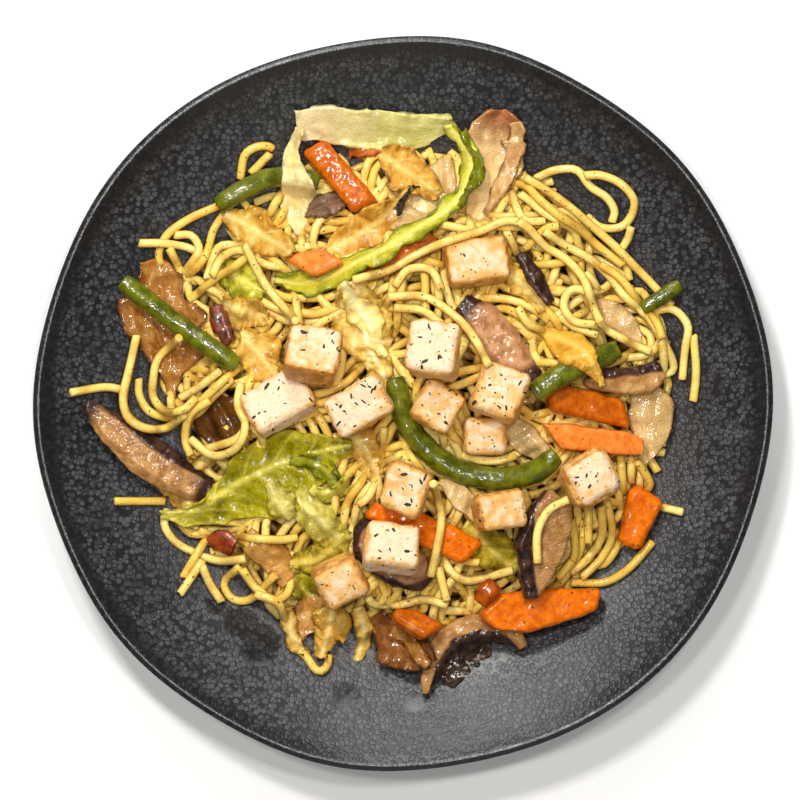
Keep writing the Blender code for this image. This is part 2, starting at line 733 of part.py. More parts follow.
def lay_left_side(kitchen, paint):
    """The left: pepper, beans and the big green leaf with a scrap of pale leaf on it."""
    green, yellow = paint["green_leaf"], paint["yellow_leaf"]
    kitchen.log("pepper", [(-69, 36), (-67, 29), (-63, 22)], (5, 8, 5), (4, 5, 3), paint["pepper"],
                stations=6)
    kitchen.leaf("leaf_7", [(-58, 25), (-52, 18), (-46, 9)], (9, 14, 11, 4), yellow, rows=6, wave=1.8)
    kitchen.bean("bean_2", [(-103, 45), (-89, 34), (-74, 23), (-61, 14)], 7.7, paint["bean"], points=9)
    kitchen.leaf("leaf_6", [(-20, 44), (-15, 28), (-7, 9)], (12, 19, 20, 16, 8), yellow, rows=8, columns=4,
                 wave=2.2, waves=2.5, thick=1.2)
    kitchen.bean("bean_3", [(-3, 9), (1, -6), (9, -17), (21, -25), (36, -27.5), (48, -25), (56, -19)], 8.8,
                 paint["bean"], points=13)
    kitchen.leaf("leaf_11", [(-20, -11), (-14, -17), (-9, -26)], (8, 12, 10, 4), yellow, rows=6, wave=2)
    kitchen.leaf("leaf_9", [(-89, -41), (-75, -38), (-62, -34), (-45, -27), (-30, -21), (-17, -17)],
                 (5, 13, 20, 25, 26, 24, 12), green, rows=12, columns=4, wave=1.2, waves=3, cup=2.5,
                 thick=1.2)
    kitchen.leaf("leaf_10", [(-50, -29), (-46, -36), (-42, -43)], (5, 10, 9, 3), paint["stem"], rows=5,
                 wave=0.8)


def lay_tofu(kitchen, tofu):
    """Tofu cubes, the lower ones of each leaning pair first. tip shows which side faces are turned up."""
    kitchen.block("tofu_3", (-45.5, 0.5), (23.5, 17, 11), 29, tofu, tip=(-16, 0))
    kitchen.block("tofu_2", (-33, 17.5), (19, 18, 14), -10, tofu, tip=(-24, 0))
    kitchen.block("tofu_4", (-16, -1), (22.5, 15, 13), 29, tofu, tip=(0, -6))
    kitchen.block("tofu_6", (12.5, -1.5), (15.5, 15.5, 11), -30, tofu, tip=(-8, 0))
    kitchen.block("tofu_5", (11, 19.5), (18, 19, 14), -7, tofu, tip=(-10, -8))
    kitchen.block("tofu_8", (30, -12), (15, 13, 10), 0, tofu)
    kitchen.block("tofu_7", (35, 4), (18, 18, 12.5), -20, tofu, tip=(-8, 0))
    kitchen.block("tofu_1", (27, 51.5), (22.5, 16, 13), 8, tofu, tip=(-10, 8))
    kitchen.block("tofu_9", (1, -31), (16, 17, 12.5), -22, tofu, tip=(5, -5))
    kitchen.block("tofu_12", (-4, -52.5), (19, 16, 12.5), -6, tofu, tip=(-18, 0))
    kitchen.block("tofu_10", (35, -39), (17, 13, 13), 10, tofu, tip=(0, 15))
    kitchen.block("tofu_11", (68, -27.5), (18.5, 17.5, 15), 30, tofu, tip=(0, 10), edge=3)


def lay_near_side(kitchen, paint):
    """The side near the eater: cabbage and browned onion with a tofu cube on them, and a ring of chili."""
    kitchen.leaf("leaf_12", [(-42, -59), (-31, -57), (-20, -48)], (5, 9, 9, 5), paint["green_leaf"], rows=6)
    kitchen.leaf("onion_7", [(-31, -70), (-35, -79), (-40, -87)], (10, 13, 12, 6), paint["browned_onion"],
                 rows=5, thick=1.4)
    kitchen.leaf("leaf_13", [(-25, -72), (-27, -82), (-30, -94)], (10, 13, 10, 6), paint["yellow_leaf"],
                 rows=7, wave=2, waves=3)
    kitchen.block("tofu_13", (-23, -65), (17, 16, 14), 28, paint["tofu"], tip=(12, 0), edge=2)
    kitchen.log("chili", [(-71.5, -52), (-67, -50.5), (-62, -53)], (6, 9.5, 7), (2.5, 3.5, 3),
                paint["pepper"], stations=6)
    kitchen.log("carrot_10", [(28, -73), (31, -69), (34, -66)], (5, 8, 6), (4, 6, 4), paint["carrot"],
                stations=5)


# ---------------------------------------------------------------- noodle routes round the edge


EDGE_NOODLES = (
    # Loops and ends on the right and upper right.
    ((44, 70), (51, 80), (60, 86), (70, 80), (77, 70), (74, 58), (64, 50)),
    ((56, 64), (64, 75), (72, 85), (82, 80), (84, 69), (75, 62), (62, 60)),
    ((38, 84), (54, 78), (69, 66), (84, 52), (99, 35)),
    ((40, 76), (54, 70), (70, 60), (80, 51), (88, 38)),
    ((45, 67), (60, 58), (76, 47), (88, 34), (96, 15), (94, 6)),
    ((66, 48), (76, 38), (86, 31), (98, 35), (105, 26), (103, 9)),
    ((78, 34), (93, 33), (105, 31), (107, 18), (107, 1)),
    ((88, 14), (97, 2), (104, 1), (102, 12)),
    # Loops and ends on the left and upper left.
    ((-60, 72), (-72, 72), (-87, 63), (-89, 52), (-82, 43), (-70, 40)),
    ((-97, 59), (-86, 59), (-74, 56), (-62, 58)),
    ((-50, 71), (-54, 60), (-62, 50), (-79, 42)),
    ((-60, 79), (-59, 90), (-52, 95), (-46, 90)),
    ((-106, -36), (-97, -36), (-84, -35), (-74, -38)),
    ((-62, 10), (-75, 6), (-84, 0), (-90, 6), (-92, 14)),
    ((-62, -17), (-72, -19), (-80, -13), (-76, -3), (-66, 1)),
    # Loops and ends on the near side.
    ((-78, -38), (-88, -43), (-86, -51), (-76, -55), (-62, -58)),
    ((-68, -47), (-74, -54), (-82, -64)),
    ((-70, -55), (-77, -63), (-83, -71)),
    ((-60, -57), (-67, -66), (-62, -73), (-52, -70)),
    ((-50, -66), (-45, -76), (-44, -84), (-38, -91), (-32, -99), (-28, -95), (-28, -88)),
    ((-54, -60), (-52, -70), (-44, -71), (-40, -62)),
    ((76, -32), (86, -35), (95, -38), (103, -40)),
    ((54, -64), (64, -66), (76, -65), (86, -59), (92, -51)),
    ((74, -40), (77, -49), (73, -57), (64, -63)),
    ((70, -40), (69, -51), (60, -60)),
    ((78, -20), (82, -33)),
    ((18, -60), (27, -65), (40, -61)),
    ((-13, -71), (-1, -74), (16, -72)),
)


def main():
    clear_scene()
    parts = new_collection("noodles_with_vegetables_and_tofu")
    paint = {
        "plate": material("dark_glaze", (0.028, 0.029, 0.032), 0.35),
        "noodle": material("noodle", (0.80, 0.56, 0.17), 0.35),
        "tofu": material("tofu", (0.86, 0.70, 0.46), 0.55),
        "carrot": material("carrot", (0.80, 0.20, 0.03), 0.3),
        "bean": material("green_bean", (0.13, 0.20, 0.03), 0.3),
        "mushroom": material("mushroom", (0.26, 0.13, 0.06), 0.45),
        "green_leaf": material("green_leaf", (0.36, 0.42, 0.04), 0.35),
        "yellow_leaf": material("yellow_leaf", (0.72, 0.55, 0.10), 0.4),
        "stem": material("cabbage_stem", (0.62, 0.60, 0.25), 0.3),
        "onion": material("onion", (0.60, 0.50, 0.30), 0.25),
        "browned_onion": material("browned_onion", (0.30, 0.12, 0.04), 0.25),
        "pepper": material("pepper", (0.35, 0.05, 0.02), 0.25),
    }

    relief = Relief()
    plate = make_plate(parts, paint["plate"])
    relief.add(plate)
    plate_map = relief.height.copy()
    core = make_core(parts, paint["noodle"])
    relief.rest(core)
    relief.topping_low[:] = np.inf
    relief.topping_high[:] = -np.inf
    core_map = relief.height.copy()

    kitchen = Kitchen(relief, parts)
    lay_onions_and_edges(kitchen, paint)
    lay_upper_side(kitchen, paint)
    lay_left_side(kitchen, paint)
    lay_tofu(kitchen, paint["tofu"])
    lay_near_side(kitchen, paint)

    core.data.transform(core.matrix_world)
    core.matrix_world = Matrix.Identity(4)
    heap = Heap(core, relief, core_map, plate_map)
    for route in EDGE_NOODLES:
        heap.lay([(x * MM, y * MM) for x, y in route])
    heap.fill(random.Random(SEED))
    heap.fuse()


main()
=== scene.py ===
"""The looks of a plate of fried noodles with vegetables and tofu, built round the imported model.

Routes and outlines are plan views in millimetres, (x, y) with +Y away from the eater, and MM turns them
into metres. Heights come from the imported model's nodes and from a height map, on which noodles and scraps
are piled.
"""

import itertools
import json
import math

import bmesh
import bpy
import numpy as np
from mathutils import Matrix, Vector
from mathutils.bvhtree import BVHTree

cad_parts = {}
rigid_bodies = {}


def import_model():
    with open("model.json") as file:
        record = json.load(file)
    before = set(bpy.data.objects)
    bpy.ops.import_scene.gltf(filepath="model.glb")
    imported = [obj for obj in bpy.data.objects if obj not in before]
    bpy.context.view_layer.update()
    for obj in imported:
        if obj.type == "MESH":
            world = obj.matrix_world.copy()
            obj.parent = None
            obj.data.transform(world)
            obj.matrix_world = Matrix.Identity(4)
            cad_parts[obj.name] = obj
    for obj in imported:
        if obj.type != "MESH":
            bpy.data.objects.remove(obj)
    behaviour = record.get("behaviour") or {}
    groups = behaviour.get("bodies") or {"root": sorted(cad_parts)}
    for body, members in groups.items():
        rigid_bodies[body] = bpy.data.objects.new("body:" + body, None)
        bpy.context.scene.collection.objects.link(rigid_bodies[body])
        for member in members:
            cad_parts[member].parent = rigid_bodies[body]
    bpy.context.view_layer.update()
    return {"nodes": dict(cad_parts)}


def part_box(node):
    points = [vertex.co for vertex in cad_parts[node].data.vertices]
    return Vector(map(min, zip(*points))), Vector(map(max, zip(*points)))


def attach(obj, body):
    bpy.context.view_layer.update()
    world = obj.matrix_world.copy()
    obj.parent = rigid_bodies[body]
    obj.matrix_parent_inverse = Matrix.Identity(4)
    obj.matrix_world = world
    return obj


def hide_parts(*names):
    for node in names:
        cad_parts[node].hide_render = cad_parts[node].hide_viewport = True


MM = 0.001
SEED = 11

# Plate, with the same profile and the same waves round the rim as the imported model's.
PLATE_RADIUS, PLATE_HEIGHT, PLATE_WALL = 135 * MM, 30 * MM, 4 * MM
FLOOR_HEIGHT, FLOOR_RADIUS = 7 * MM, 60 * MM
LIP_RADIUS, LIP_DROP, LIP_CREST, LIP_ROUND = 132 * MM, 0.8 * MM, 1.2 * MM, 1.4 * MM
BOWL_CURVE = 2.4
FOOT_RADIUS, FOOT_WIDTH, FOOT_CHAMFER = 50 * MM, 5 * MM, 1.5 * MM
RIM_WAVES = ((2, 0.0020, 40), (4, 0.0016, 163), (6, 0.0033, -78), (8, 0.0032, 30), (10, 0.0021, -41))
PLATE_SECTORS, BOWL_RINGS, FLOOR_RINGS = 300, 66, 8
# Rings from the middle outward that undulate and take sauce with painted shade, and oil: all but the last two
# under the lip.
INNER_RINGS = FLOOR_RINGS - 1 + BOWL_RINGS - 2
CAP_RADIUS = 4 * MM
FLECK_SIZE = 1.9 * MM
# A thrown plate is never quite true: its inside undulates by this much, in waves of this size.
UNDULATION, WAVE_SIZE = 0.18 * MM, 24 * MM
# The sauce and painted shade under the food fade out between these shares of the heap's outline.
SAUCE_AND_SHADE_GONE, SAUCE_AND_SHADE_FULL = 1.24, 0.98
# The glaze's flecks fade out between these radii, under the lip.
FLECKS_END, FLECKS_GONE = 126 * MM, 130 * MM
# Smears of oil beside the food: where, and how far each reaches, in mm.
OIL_SPOTS = ((-60, -80, 7), (-52, -88, 8), (-68, -72, 5), (-20, -108, 6), (12, -80, 6), (5, -110, 5),
             (36, -76, 5), (-104, 0, 4), (72, 62, 4))

# Heap of noodles. The core lies CORE_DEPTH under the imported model's core, and noodles fill the difference.
NOODLE_RADIUS = 1.6 * MM
CORE_RADIUS, CORE_SHIFT, CORE_SHIFT_ANGLE = 91 * MM, 5 * MM, math.radians(25)
CORE_HEIGHT, CORE_EDGE = 21 * MM, 2.5 * MM
CORE_DEPTH, CORE_SHRINK = 8 * MM, 0.86
CORE_RINGS, CORE_SECTORS, CORE_OVER_PLATE = 26, 72, 0.4 * MM
STRAND_STEP = 1.0 * MM
TUBE_SIDES, TUBE_STEP = 10, 1.75 * MM
PRESSED = 0.25 * MM
CLEARANCE = 0.15 * MM
SHORTEST_STRAND, SHORTEST_SHOWN = 9 * MM, 5 * MM
NOODLE_WIDENING, END_SLANT = 1.04, 0.35
# Painted shade: noodles are painted darker between these depths under the imported model's core.
PAINTED_SHADE_DEPTHS = -1.5 * MM, 4.5 * MM
# The noodles inside the heap: how many, out of how many choices each, and how far they wander at a time.
FILL_STRANDS, FILL_CHOICES, WANDER_STEP = 230, 8, 6 * MM
BUNDLE, UNDER_PIECES = 3, 4
FILL_OVERHANG, FILL_RISE = 4 * MM, 1.0 * MM
# How far their ends dip, and over what length.
SUNK_ENDS, DIP_LENGTH = 3.2 * MM, 9 * MM

# Height map.
CELL = 0.5 * MM
HALF_SPAN = 142 * MM
CELLS = int(round(2 * HALF_SPAN / CELL)) + 1

# Sizes of the fine meshes, and of the steps along a route.
BLOCK_VOXEL, SLICE_VOXEL, LUMP_VOXEL = 0.55 * MM, 0.5 * MM, 0.45 * MM
BEAN_STEP, ROUTE_STEP = 0.7 * MM, 0.5 * MM
# How often a noodle's line is smoothed while it settles on what lies under it.
SETTLE_ROUNDS = 24
# The grid of leaves and petals, and how high a scrap lies over the topping under it.
SHEET_CELL, LIFT = 0.75 * MM, 1.4 * MM
# The height in mm of a leaf's ribs and of its pleats.
RIB_HEIGHT, PLEAT_HEIGHT = 0.45, 0.9

# Moist food: how far red, green and blue light goes in, one against the other, and its film of oil.
SCATTER_SHARES = (1.0, 0.55, 0.3)
OIL_IOR, OIL_RIPPLES = 1.45, 2.6 * MM

UP, DOWN = Vector((0, 0, 1)), Vector((0, 0, -1))

# Camera: straight down, far enough away that the heap hides no more of the plate than in plan.
CAMERA_HEIGHT = 2.2
FRAME_WIDTH = 293.1 * MM
FRAME_CENTRE = (-1.1 * MM, 1.3 * MM)
SENSOR_WIDTH = 36

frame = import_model()
NODES = frame["nodes"]


# ---------------------------------------------------------------- numbers


def draw_for(name):
    """A seeded random generator of the piece's own."""
    return np.random.default_rng([SEED, *name.encode()])


def smoothstep(low, high, values):
    share = np.clip((values - low) / (high - low), 0, 1)
    return share * share * (3 - 2 * share)


def noise(points, size, seed=0):
    """Smooth noise from -1 to 1, with features of this size. points is an array of rows x, y, z."""
    places = np.asarray(points, float) / size + 31.7 * (seed + 1)
    base = np.floor(places).astype(np.int64)
    part = places - base
    part = part * part * (3 - 2 * part)
    total = np.zeros(len(places))
    for corner in itertools.product((0, 1), repeat=3):
        cell = base + corner
        mixed = (cell[:, 0] * 73856093) ^ (cell[:, 1] * 19349663) ^ (cell[:, 2] * 83492791)
        mixed = ((mixed ^ (mixed >> 13)) * 1274126177) & 0xFFFFFFFF
        value = ((mixed ^ (mixed >> 16)) & 0xFFFF) / 32767.5 - 1
        total += value * np.prod(np.where(corner, part, 1 - part), axis=1)
    return total


def rough_noise(points, size, seed=0):
    """Three layers of noise, each half as large and half as strong as the one before."""
    return sum(noise(points, size / 2**k, seed + k) / 2**k for k in range(3)) / 1.5


def flat_places(plan):
    """The points of a plan grid as rows x, y, 0."""
    return np.column_stack([plan.reshape(-1, 2), np.zeros(plan[..., 0].size)])


def catmull_rom(points, count):
    """The smooth curve through the points, at count evenly spaced places along it."""
    points = [np.array(point, float) for point in points]
    ends = [2 * points[0] - points[1], *points, 2 * points[-1] - points[-2]]
    fine = []
    for before, start, end, after in zip(ends, ends[1:], ends[2:], ends[3:]):
        t = np.linspace(0, 1, 16, endpoint=False)[:, None]
        linear, square = end - before, 2 * before - 5 * start + 4 * end - after
        cube = 3 * start - before - 3 * end + after
        fine.append(0.5 * (2 * start + linear * t + square * t**2 + cube * t**3))
    fine = np.concatenate([*fine, [points[-1]]])
    along = np.concatenate([[0], np.cumsum(np.linalg.norm(np.diff(fine, axis=0), axis=1))])
    wanted = np.linspace(0, along[-1], count)
    return np.stack([np.interp(wanted, along, axis) for axis in fine.T], axis=1)


def evenly(route, step):
    """A route in metres, smoothed and with a point at every step."""
    rough = catmull_rom(route, 80)
    length = np.linalg.norm(np.diff(rough, axis=0), axis=1).sum()
    return catmull_rom(route, max(4, int(length / step) + 1))


def sideways(line):
    """The unit vector to the left of a plan line at each of its points."""
    ahead = np.gradient(line[:, :2], axis=0)
    ahead /= np.linalg.norm(ahead, axis=1)[:, None] + 1e-12
    return np.stack([-ahead[:, 1], ahead[:, 0]], axis=1)


def frame_along(spine):
    """Unit vectors ahead, to the side and up at each point of a line."""
    ahead = np.gradient(spine, axis=0)
    ahead /= np.linalg.norm(ahead, axis=1)[:, None]
    side = np.cross(ahead, (0, 0, 1.0))
    side /= np.linalg.norm(side, axis=1)[:, None] + 1e-9
    return ahead, side, np.cross(side, ahead)


def in_line(along, beside=0.0):
    """Places for noise that changes only along a line."""
    return np.column_stack([along, np.full(len(along), beside), np.zeros(len(along))])


def spread_along(values, count):
    """A short list of widths, eased out to count of them."""
    knots = np.linspace(0, 1, len(values))
    return np.interp(np.linspace(0, 1, count), knots, values)


def blurred(values, times):
    """Values softened along their first axis."""
    for _ in range(times):
        padded = np.concatenate([values[:1], values, values[-1:]])
        values = 0.25 * padded[:-2] + 0.5 * padded[1:-1] + 0.25 * padded[2:]
    return values


def blurred_grid(grid, times):
    return blurred(blurred(grid, times).T, times).T


# ---------------------------------------------------------------- meshes


def object_of(name, points, faces, smooth=True, sharp=None, **attributes):
    """A mesh object, with one number for each point in each attribute.

    Edges of more than sharp degrees stay sharp.
    """
    mesh = bpy.data.meshes.new(name)
    mesh.from_pydata(np.asarray(points).tolist(), [], [list(face) for face in faces])
    if smooth:
        mesh.shade_smooth()
    if sharp:
        mesh.set_sharp_from_angle(angle=math.radians(sharp))
    obj = bpy.data.objects.new(name, mesh)
    bpy.context.scene.collection.objects.link(obj)
    for label, values in attributes.items():
        set_attribute(obj, label, values)
    return obj


def set_attribute(obj, label, values):
    layer = obj.data.attributes.new(label, "FLOAT", "POINT")
    layer.data.foreach_set("value", np.asarray(values, np.float32))


def points_of(mesh):
    flat = np.empty(len(mesh.vertices) * 3, np.float32)
    mesh.vertices.foreach_get("co", flat)
    return flat.reshape(-1, 3).astype(float)


def normals_of(mesh):
    flat = np.empty(len(mesh.vertices) * 3, np.float32)
    mesh.vertex_normals.foreach_get("vector", flat)
    return flat.reshape(-1, 3).astype(float)


def move_points(mesh, points):
    mesh.vertices.foreach_set("co", np.asarray(points, np.float32).ravel())
    mesh.update()


def tree_of(*meshes):
    points, faces = [], []
    for mesh in meshes:
        start = len(points)
        points += [vertex.co for vertex in mesh.vertices]
        faces += [[start + k for k in face.vertices] for face in mesh.polygons]
    return BVHTree.FromPolygons(points, faces)


def top_of(tree, x, y):
    """The uppermost point of a mesh at a place in plan, or None."""
    return tree.ray_cast(Vector((x, y, 1)), DOWN)[0]


def bottom_of(tree, x, y):
    return tree.ray_cast(Vector((x, y, -1)), UP)[0]


def evaluated_mesh(obj):
    bpy.context.view_layer.update()
    return bpy.data.meshes.new_from_object(obj.evaluated_get(bpy.context.evaluated_depsgraph_get()))


def refined(name, node, voxel, soften=3):
    """A fine copy of a node's solid, in a new object, with softened edges."""
    obj = bpy.data.objects.new(name, NODES[node].data.copy())
    bpy.context.scene.collection.objects.link(obj)
    obj.data.materials.clear()
    bm = bmesh.new()
    bm.from_mesh(obj.data)
    bmesh.ops.remove_doubles(bm, verts=bm.verts, dist=0.01 * MM)
    bm.to_mesh(obj.data)
    bm.free()
    remesh = obj.modifiers.new("Fine mesh", "REMESH")
    remesh.mode = "VOXEL"
    remesh.voxel_size = voxel
    soft = obj.modifiers.new("Soft edges", "SMOOTH")
    soft.iterations = soften
    obj.data, old = evaluated_mesh(obj), obj.data
    bpy.data.meshes.remove(old)
    obj.modifiers.clear()
    for layer in list(obj.data.attributes):
        if not layer.is_required and not layer.is_internal:
            obj.data.attributes.remove(layer)
    obj.data.shade_smooth()
    return obj


def shape_of(obj):
    """The places and the normals of a fine copy's points."""
    return points_of(obj.data), normals_of(obj.data)


def push_out(obj, points, normals, shift):
    """Moves each point by its own distance along its normal."""
    move_points(obj.data, points + normals * shift[:, None])


def ring_faces(index):
    """Quads between closed rings, one ring for each row of point numbers, and a cap on the two end rings."""
    beside = np.roll(index, -1, axis=1)
    quads = np.stack([index[:-1], index[1:], beside[1:], beside[:-1]], axis=-1).reshape(-1, 4)
    return [*quads.tolist(), index[0].tolist(), index[-1][::-1].tolist()]


def grid_faces(rows, columns):
    corner = np.arange(rows * (columns + 1)).reshape(rows, columns + 1)[:, :-1].ravel()
    return np.stack([corner, corner + 1, corner + columns + 2, corner + columns + 1], axis=1)


def hand_over(obj, slot, *nodes, surface):
    """The piece rides on the plate's body, takes the surface given and stands for these nodes. The slot is
    not used.
    """
    obj.data.materials.append(surface)
    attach(obj, "root")
    if nodes:
        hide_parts(*nodes)
    return obj


# ---------------------------------------------------------------- materials


class Paint:
    """A Principled material and short ways to add nodes to it."""

    def __init__(self, name, **settings):
        self.material = bpy.data.materials.new(name)
        self.material.use_nodes = True
        self.tree = self.material.node_tree
        self.shader = self.tree.nodes["Principled BSDF"]
        geometry = self.tree.nodes.new("ShaderNodeNewGeometry").outputs
        self.place, self.normal = geometry["Position"], geometry["Normal"]
        for label, value in settings.items():
            self.shader.inputs[label.replace("_", " ")].default_value = value

    def link(self, start, end):
        self.tree.links.new(start, end)

    def node(self, kind, inputs, output=0, **options):
        made = self.tree.nodes.new(f"ShaderNode{kind}")
        for label, value in options.items():
            setattr(made, label, value)
        for label, value in inputs.items():
            if isinstance(value, bpy.types.NodeSocket):
                self.link(value, made.inputs[label])
            else:
                made.inputs[label].default_value = value
        return made.outputs[output]

    def attribute(self, name):
        return self.node("Attribute", {}, output=2, attribute_name=name)

    def noise(self, size, detail=3, rough=0.55, warp=0.0, stretch=(1, 1, 1)):
        """Noise with features of about this size in metres."""
        place = self.node("VectorMath", {0: self.place, 1: stretch}, operation="MULTIPLY")
        settings = {"Scale": 1 / size, "Detail": detail, "Roughness": rough, "Distortion": warp}
        return self.node("TexNoise", {"Vector": place, **settings})

    def cells(self, size, feature="F1", warp=0.0, output=0):
        """Voronoi cells of about this size in metres, from 0 at their middles or at their walls."""
        place = self.place
        if warp:
            shift = self.node("TexNoise", {"Vector": self.place, "Scale": 1 / size}, output=1)
            shift = self.node("VectorMath", {0: shift, 3: warp * size}, operation="SCALE")
            place = self.node("VectorMath", {0: place, 1: shift}, operation="ADD")
        return self.node("TexVoronoi", {"Vector": place, "Scale": 1 / size}, output, feature=feature)

    def upward(self):
        """How far the surface faces up, from -1 to 1."""
        return self.node("SeparateXYZ", {0: self.normal}, output=2)

    def math(self, operation, a, b=0.0):
        return self.node("Math", {0: a, 1: b}, operation=operation)

    def mapped(self, value, low, high, to_low=0.0, to_high=1.0):
        inputs = {0: value, 1: low, 2: high, 3: to_low, 4: to_high}
        return self.node("MapRange", inputs, interpolation_type="SMOOTHSTEP")

    def mix(self, share, a, b):
        a, b = ((*colour, 1) if isinstance(colour, tuple) else colour for colour in (a, b))
        return self.node("Mix", {0: share, 6: a, 7: b}, output=2, data_type="RGBA")

    def colour(self, value):
        self.link(value, self.shader.inputs["Base Color"])

    def roughness(self, value):
        self.link(value, self.shader.inputs["Roughness"])

    def patchy_roughness(self, size, dull, shiny):
        """Dull and shiny patches of this size."""
        self.roughness(self.mapped(self.noise(size), 0.35, 0.65, dull, shiny))

    def bump(self, *layers):
        """Bump from (height socket, depth in metres) layers."""
        normal = None
        for height, depth in layers:
            inputs = {"Height": height, "Distance": depth, "Strength": 1.0}
            if normal:
                inputs["Normal"] = normal
            normal = self.node("Bump", inputs)
        self.link(normal, self.shader.inputs["Normal"])
        self.link(normal, self.shader.inputs["Coat Normal"])


def scatter_light(paint, weight, reach):
    """Light that goes a little way in, as in all moist food."""
    paint.shader.inputs["Subsurface Weight"].default_value = weight
    paint.shader.inputs["Subsurface Radius"].default_value = SCATTER_SHARES
    paint.shader.inputs["Subsurface Scale"].default_value = reach


def wet(paint, weight, roughness=0.10, ripple=0.4 * MM):
    """A film of oil over the surface, whose own gentle ripples catch the lamps as small glints."""
    paint.shader.inputs["Coat Weight"].default_value = weight
    paint.shader.inputs["Coat Roughness"].default_value = roughness
    paint.shader.inputs["Coat IOR"].default_value = OIL_IOR
    inputs = {"Height": paint.noise(OIL_RIPPLES, detail=1), "Distance": ripple, "Strength": 1.0}
    ripples = paint.node("Bump", inputs)
    paint.link(ripples, paint.shader.inputs["Coat Normal"])


def glaze():
    """Charcoal glaze, pebbled all over with close grey flecks up to the smooth band under the lip."""
    paint = Paint("speckled_glaze", Specular_IOR_Level=0.7)
    pebble, lone = (paint.cells(FLECK_SIZE, warp=0.3, output=output) for output in (0, 1))
    wall = paint.cells(FLECK_SIZE, feature="DISTANCE_TO_EDGE", warp=0.3)
    blot = paint.math("MULTIPLY", paint.mapped(pebble, 0.66, 0.46), paint.mapped(wall, 0.02, 0.12))
    share = blot
    for factor in (
        paint.mapped(lone, 0.25, 0.65, 0.30, 1.0),
        paint.mapped(paint.noise(0.8 * MM, detail=2), 0.30, 0.60, 0.55, 1.0),
        paint.mapped(paint.noise(16 * MM, detail=2), 0.30, 0.62, 0.45, 1.0),
        paint.attribute("flecks"),
    ):
        share = paint.math("MULTIPLY", share, factor)
    base = paint.mix(paint.noise(30 * MM), (0.0065, 0.007, 0.0085), (0.011, 0.0115, 0.013))
    base = paint.mix(share, base, (0.080, 0.084, 0.092))
    # Sauce and painted shade: the glaze near the heap is darker and browner.
    base = paint.mix(paint.attribute("sauce"), base, (0.010, 0.0055, 0.0022))
    oil = paint.attribute("oil")
    paint.colour(paint.mix(paint.mapped(oil, 0, 1, 0, 0.4), base, (0.022, 0.018, 0.013)))
    smoother = paint.mapped(paint.attribute("flecks"), 0, 1, 0.8, 1)
    dry = paint.math("MULTIPLY", paint.mapped(blot, 0, 1, 0.37, 0.43), smoother)
    paint.roughness(paint.math("MULTIPLY", dry, paint.mapped(oil, 0, 1, 1.0, 0.55)))
    relief = paint.math("MULTIPLY", blot, paint.mapped(oil, 0, 1, 1.0, 0.1))
    paint.bump((relief, 0.05 * MM), (paint.noise(5 * MM), 0.12 * MM))
    return paint.material


def noodle_paint():
    """Golden oiled noodle, browner in patches, with painted shade deep in the heap and on the noodles' sides.
    """
    paint = Paint("oiled_noodle", Specular_IOR_Level=0.2)
    tone = paint.attribute("tone")
    patch = paint.noise(8 * MM, detail=4, rough=0.6)
    base = paint.mix(tone, (0.86, 0.56, 0.085), (0.97, 0.75, 0.22))
    base = paint.mix(paint.mapped(patch, 0.46, 0.70, 0, 0.7), base, (0.72, 0.35, 0.035))
    speckle = paint.mapped(paint.noise(1.2 * MM, detail=3), 0.60, 0.72, 0, 0.6)
    base = paint.mix(speckle, base, (0.42, 0.18, 0.02))
    # Painted shade: noodles sunk deep in the heap are darker.
    base = paint.mix(paint.attribute("depth"), base, (0.24, 0.105, 0.010))
    # Painted shade: noodle surfaces that face sideways and down, away from the lights above, are darker.
    base = paint.mix(paint.mapped(paint.upward(), 0.0, 0.80, 0.85, 0), base, (0.40, 0.18, 0.015))
    paint.colour(base)
    paint.patchy_roughness(3 * MM, 0.50, 0.32)
    paint.bump((paint.noise(1.2 * MM, detail=2), 0.16 * MM), (paint.noise(3.5 * MM, detail=2), 0.35 * MM))
    wet(paint, 0.6, 0.12, 0.15 * MM)
    scatter_light(paint, 0.1, 1.2 * MM)
    return paint.material


def core_paint():
    # Painted shade: the core's dark brown stands for the shade in the gaps between noodles, with the brown of
    # sauce.
    paint = Paint("heap_core", Roughness=0.5, Specular_IOR_Level=0.2)
    paint.colour(paint.mix(paint.noise(4 * MM), (0.030, 0.012, 0.003), (0.075, 0.034, 0.007)))
    return paint.material


def tofu_paint():
    """Cream faces with golden edges. The attribute browned says how far each place is fried."""
    paint = Paint("fried_tofu")
    patch = paint.noise(3.5 * MM, detail=5, rough=0.65)
    browned = paint.math("ADD", paint.attribute("browned"), paint.mapped(patch, 0.3, 0.7, -0.22, 0.24))
    fine = paint.noise(0.8 * MM, detail=3)
    cream = paint.mix(paint.mapped(fine, 0.35, 0.7), (0.93, 0.725, 0.52), (0.86, 0.59, 0.31))
    cream = paint.mix(paint.mapped(patch, 0.55, 0.75, 0, 0.5), cream, (0.74, 0.42, 0.15))
    gold = paint.mix(paint.mapped(browned, 0.12, 0.58), cream, (0.82, 0.44, 0.11))
    crust = paint.mix(paint.mapped(browned, 0.52, 1.0), gold, (0.50, 0.18, 0.022))
    paint.colour(crust)
    paint.roughness(paint.mapped(browned, 0.2, 0.8, 0.60, 0.38))
    paint.bump((paint.noise(1.2 * MM, detail=5, rough=0.7), 0.42 * MM))
    wet(paint, 0.12, 0.2)
    scatter_light(paint, 0.15, 1.5 * MM)
    return paint.material


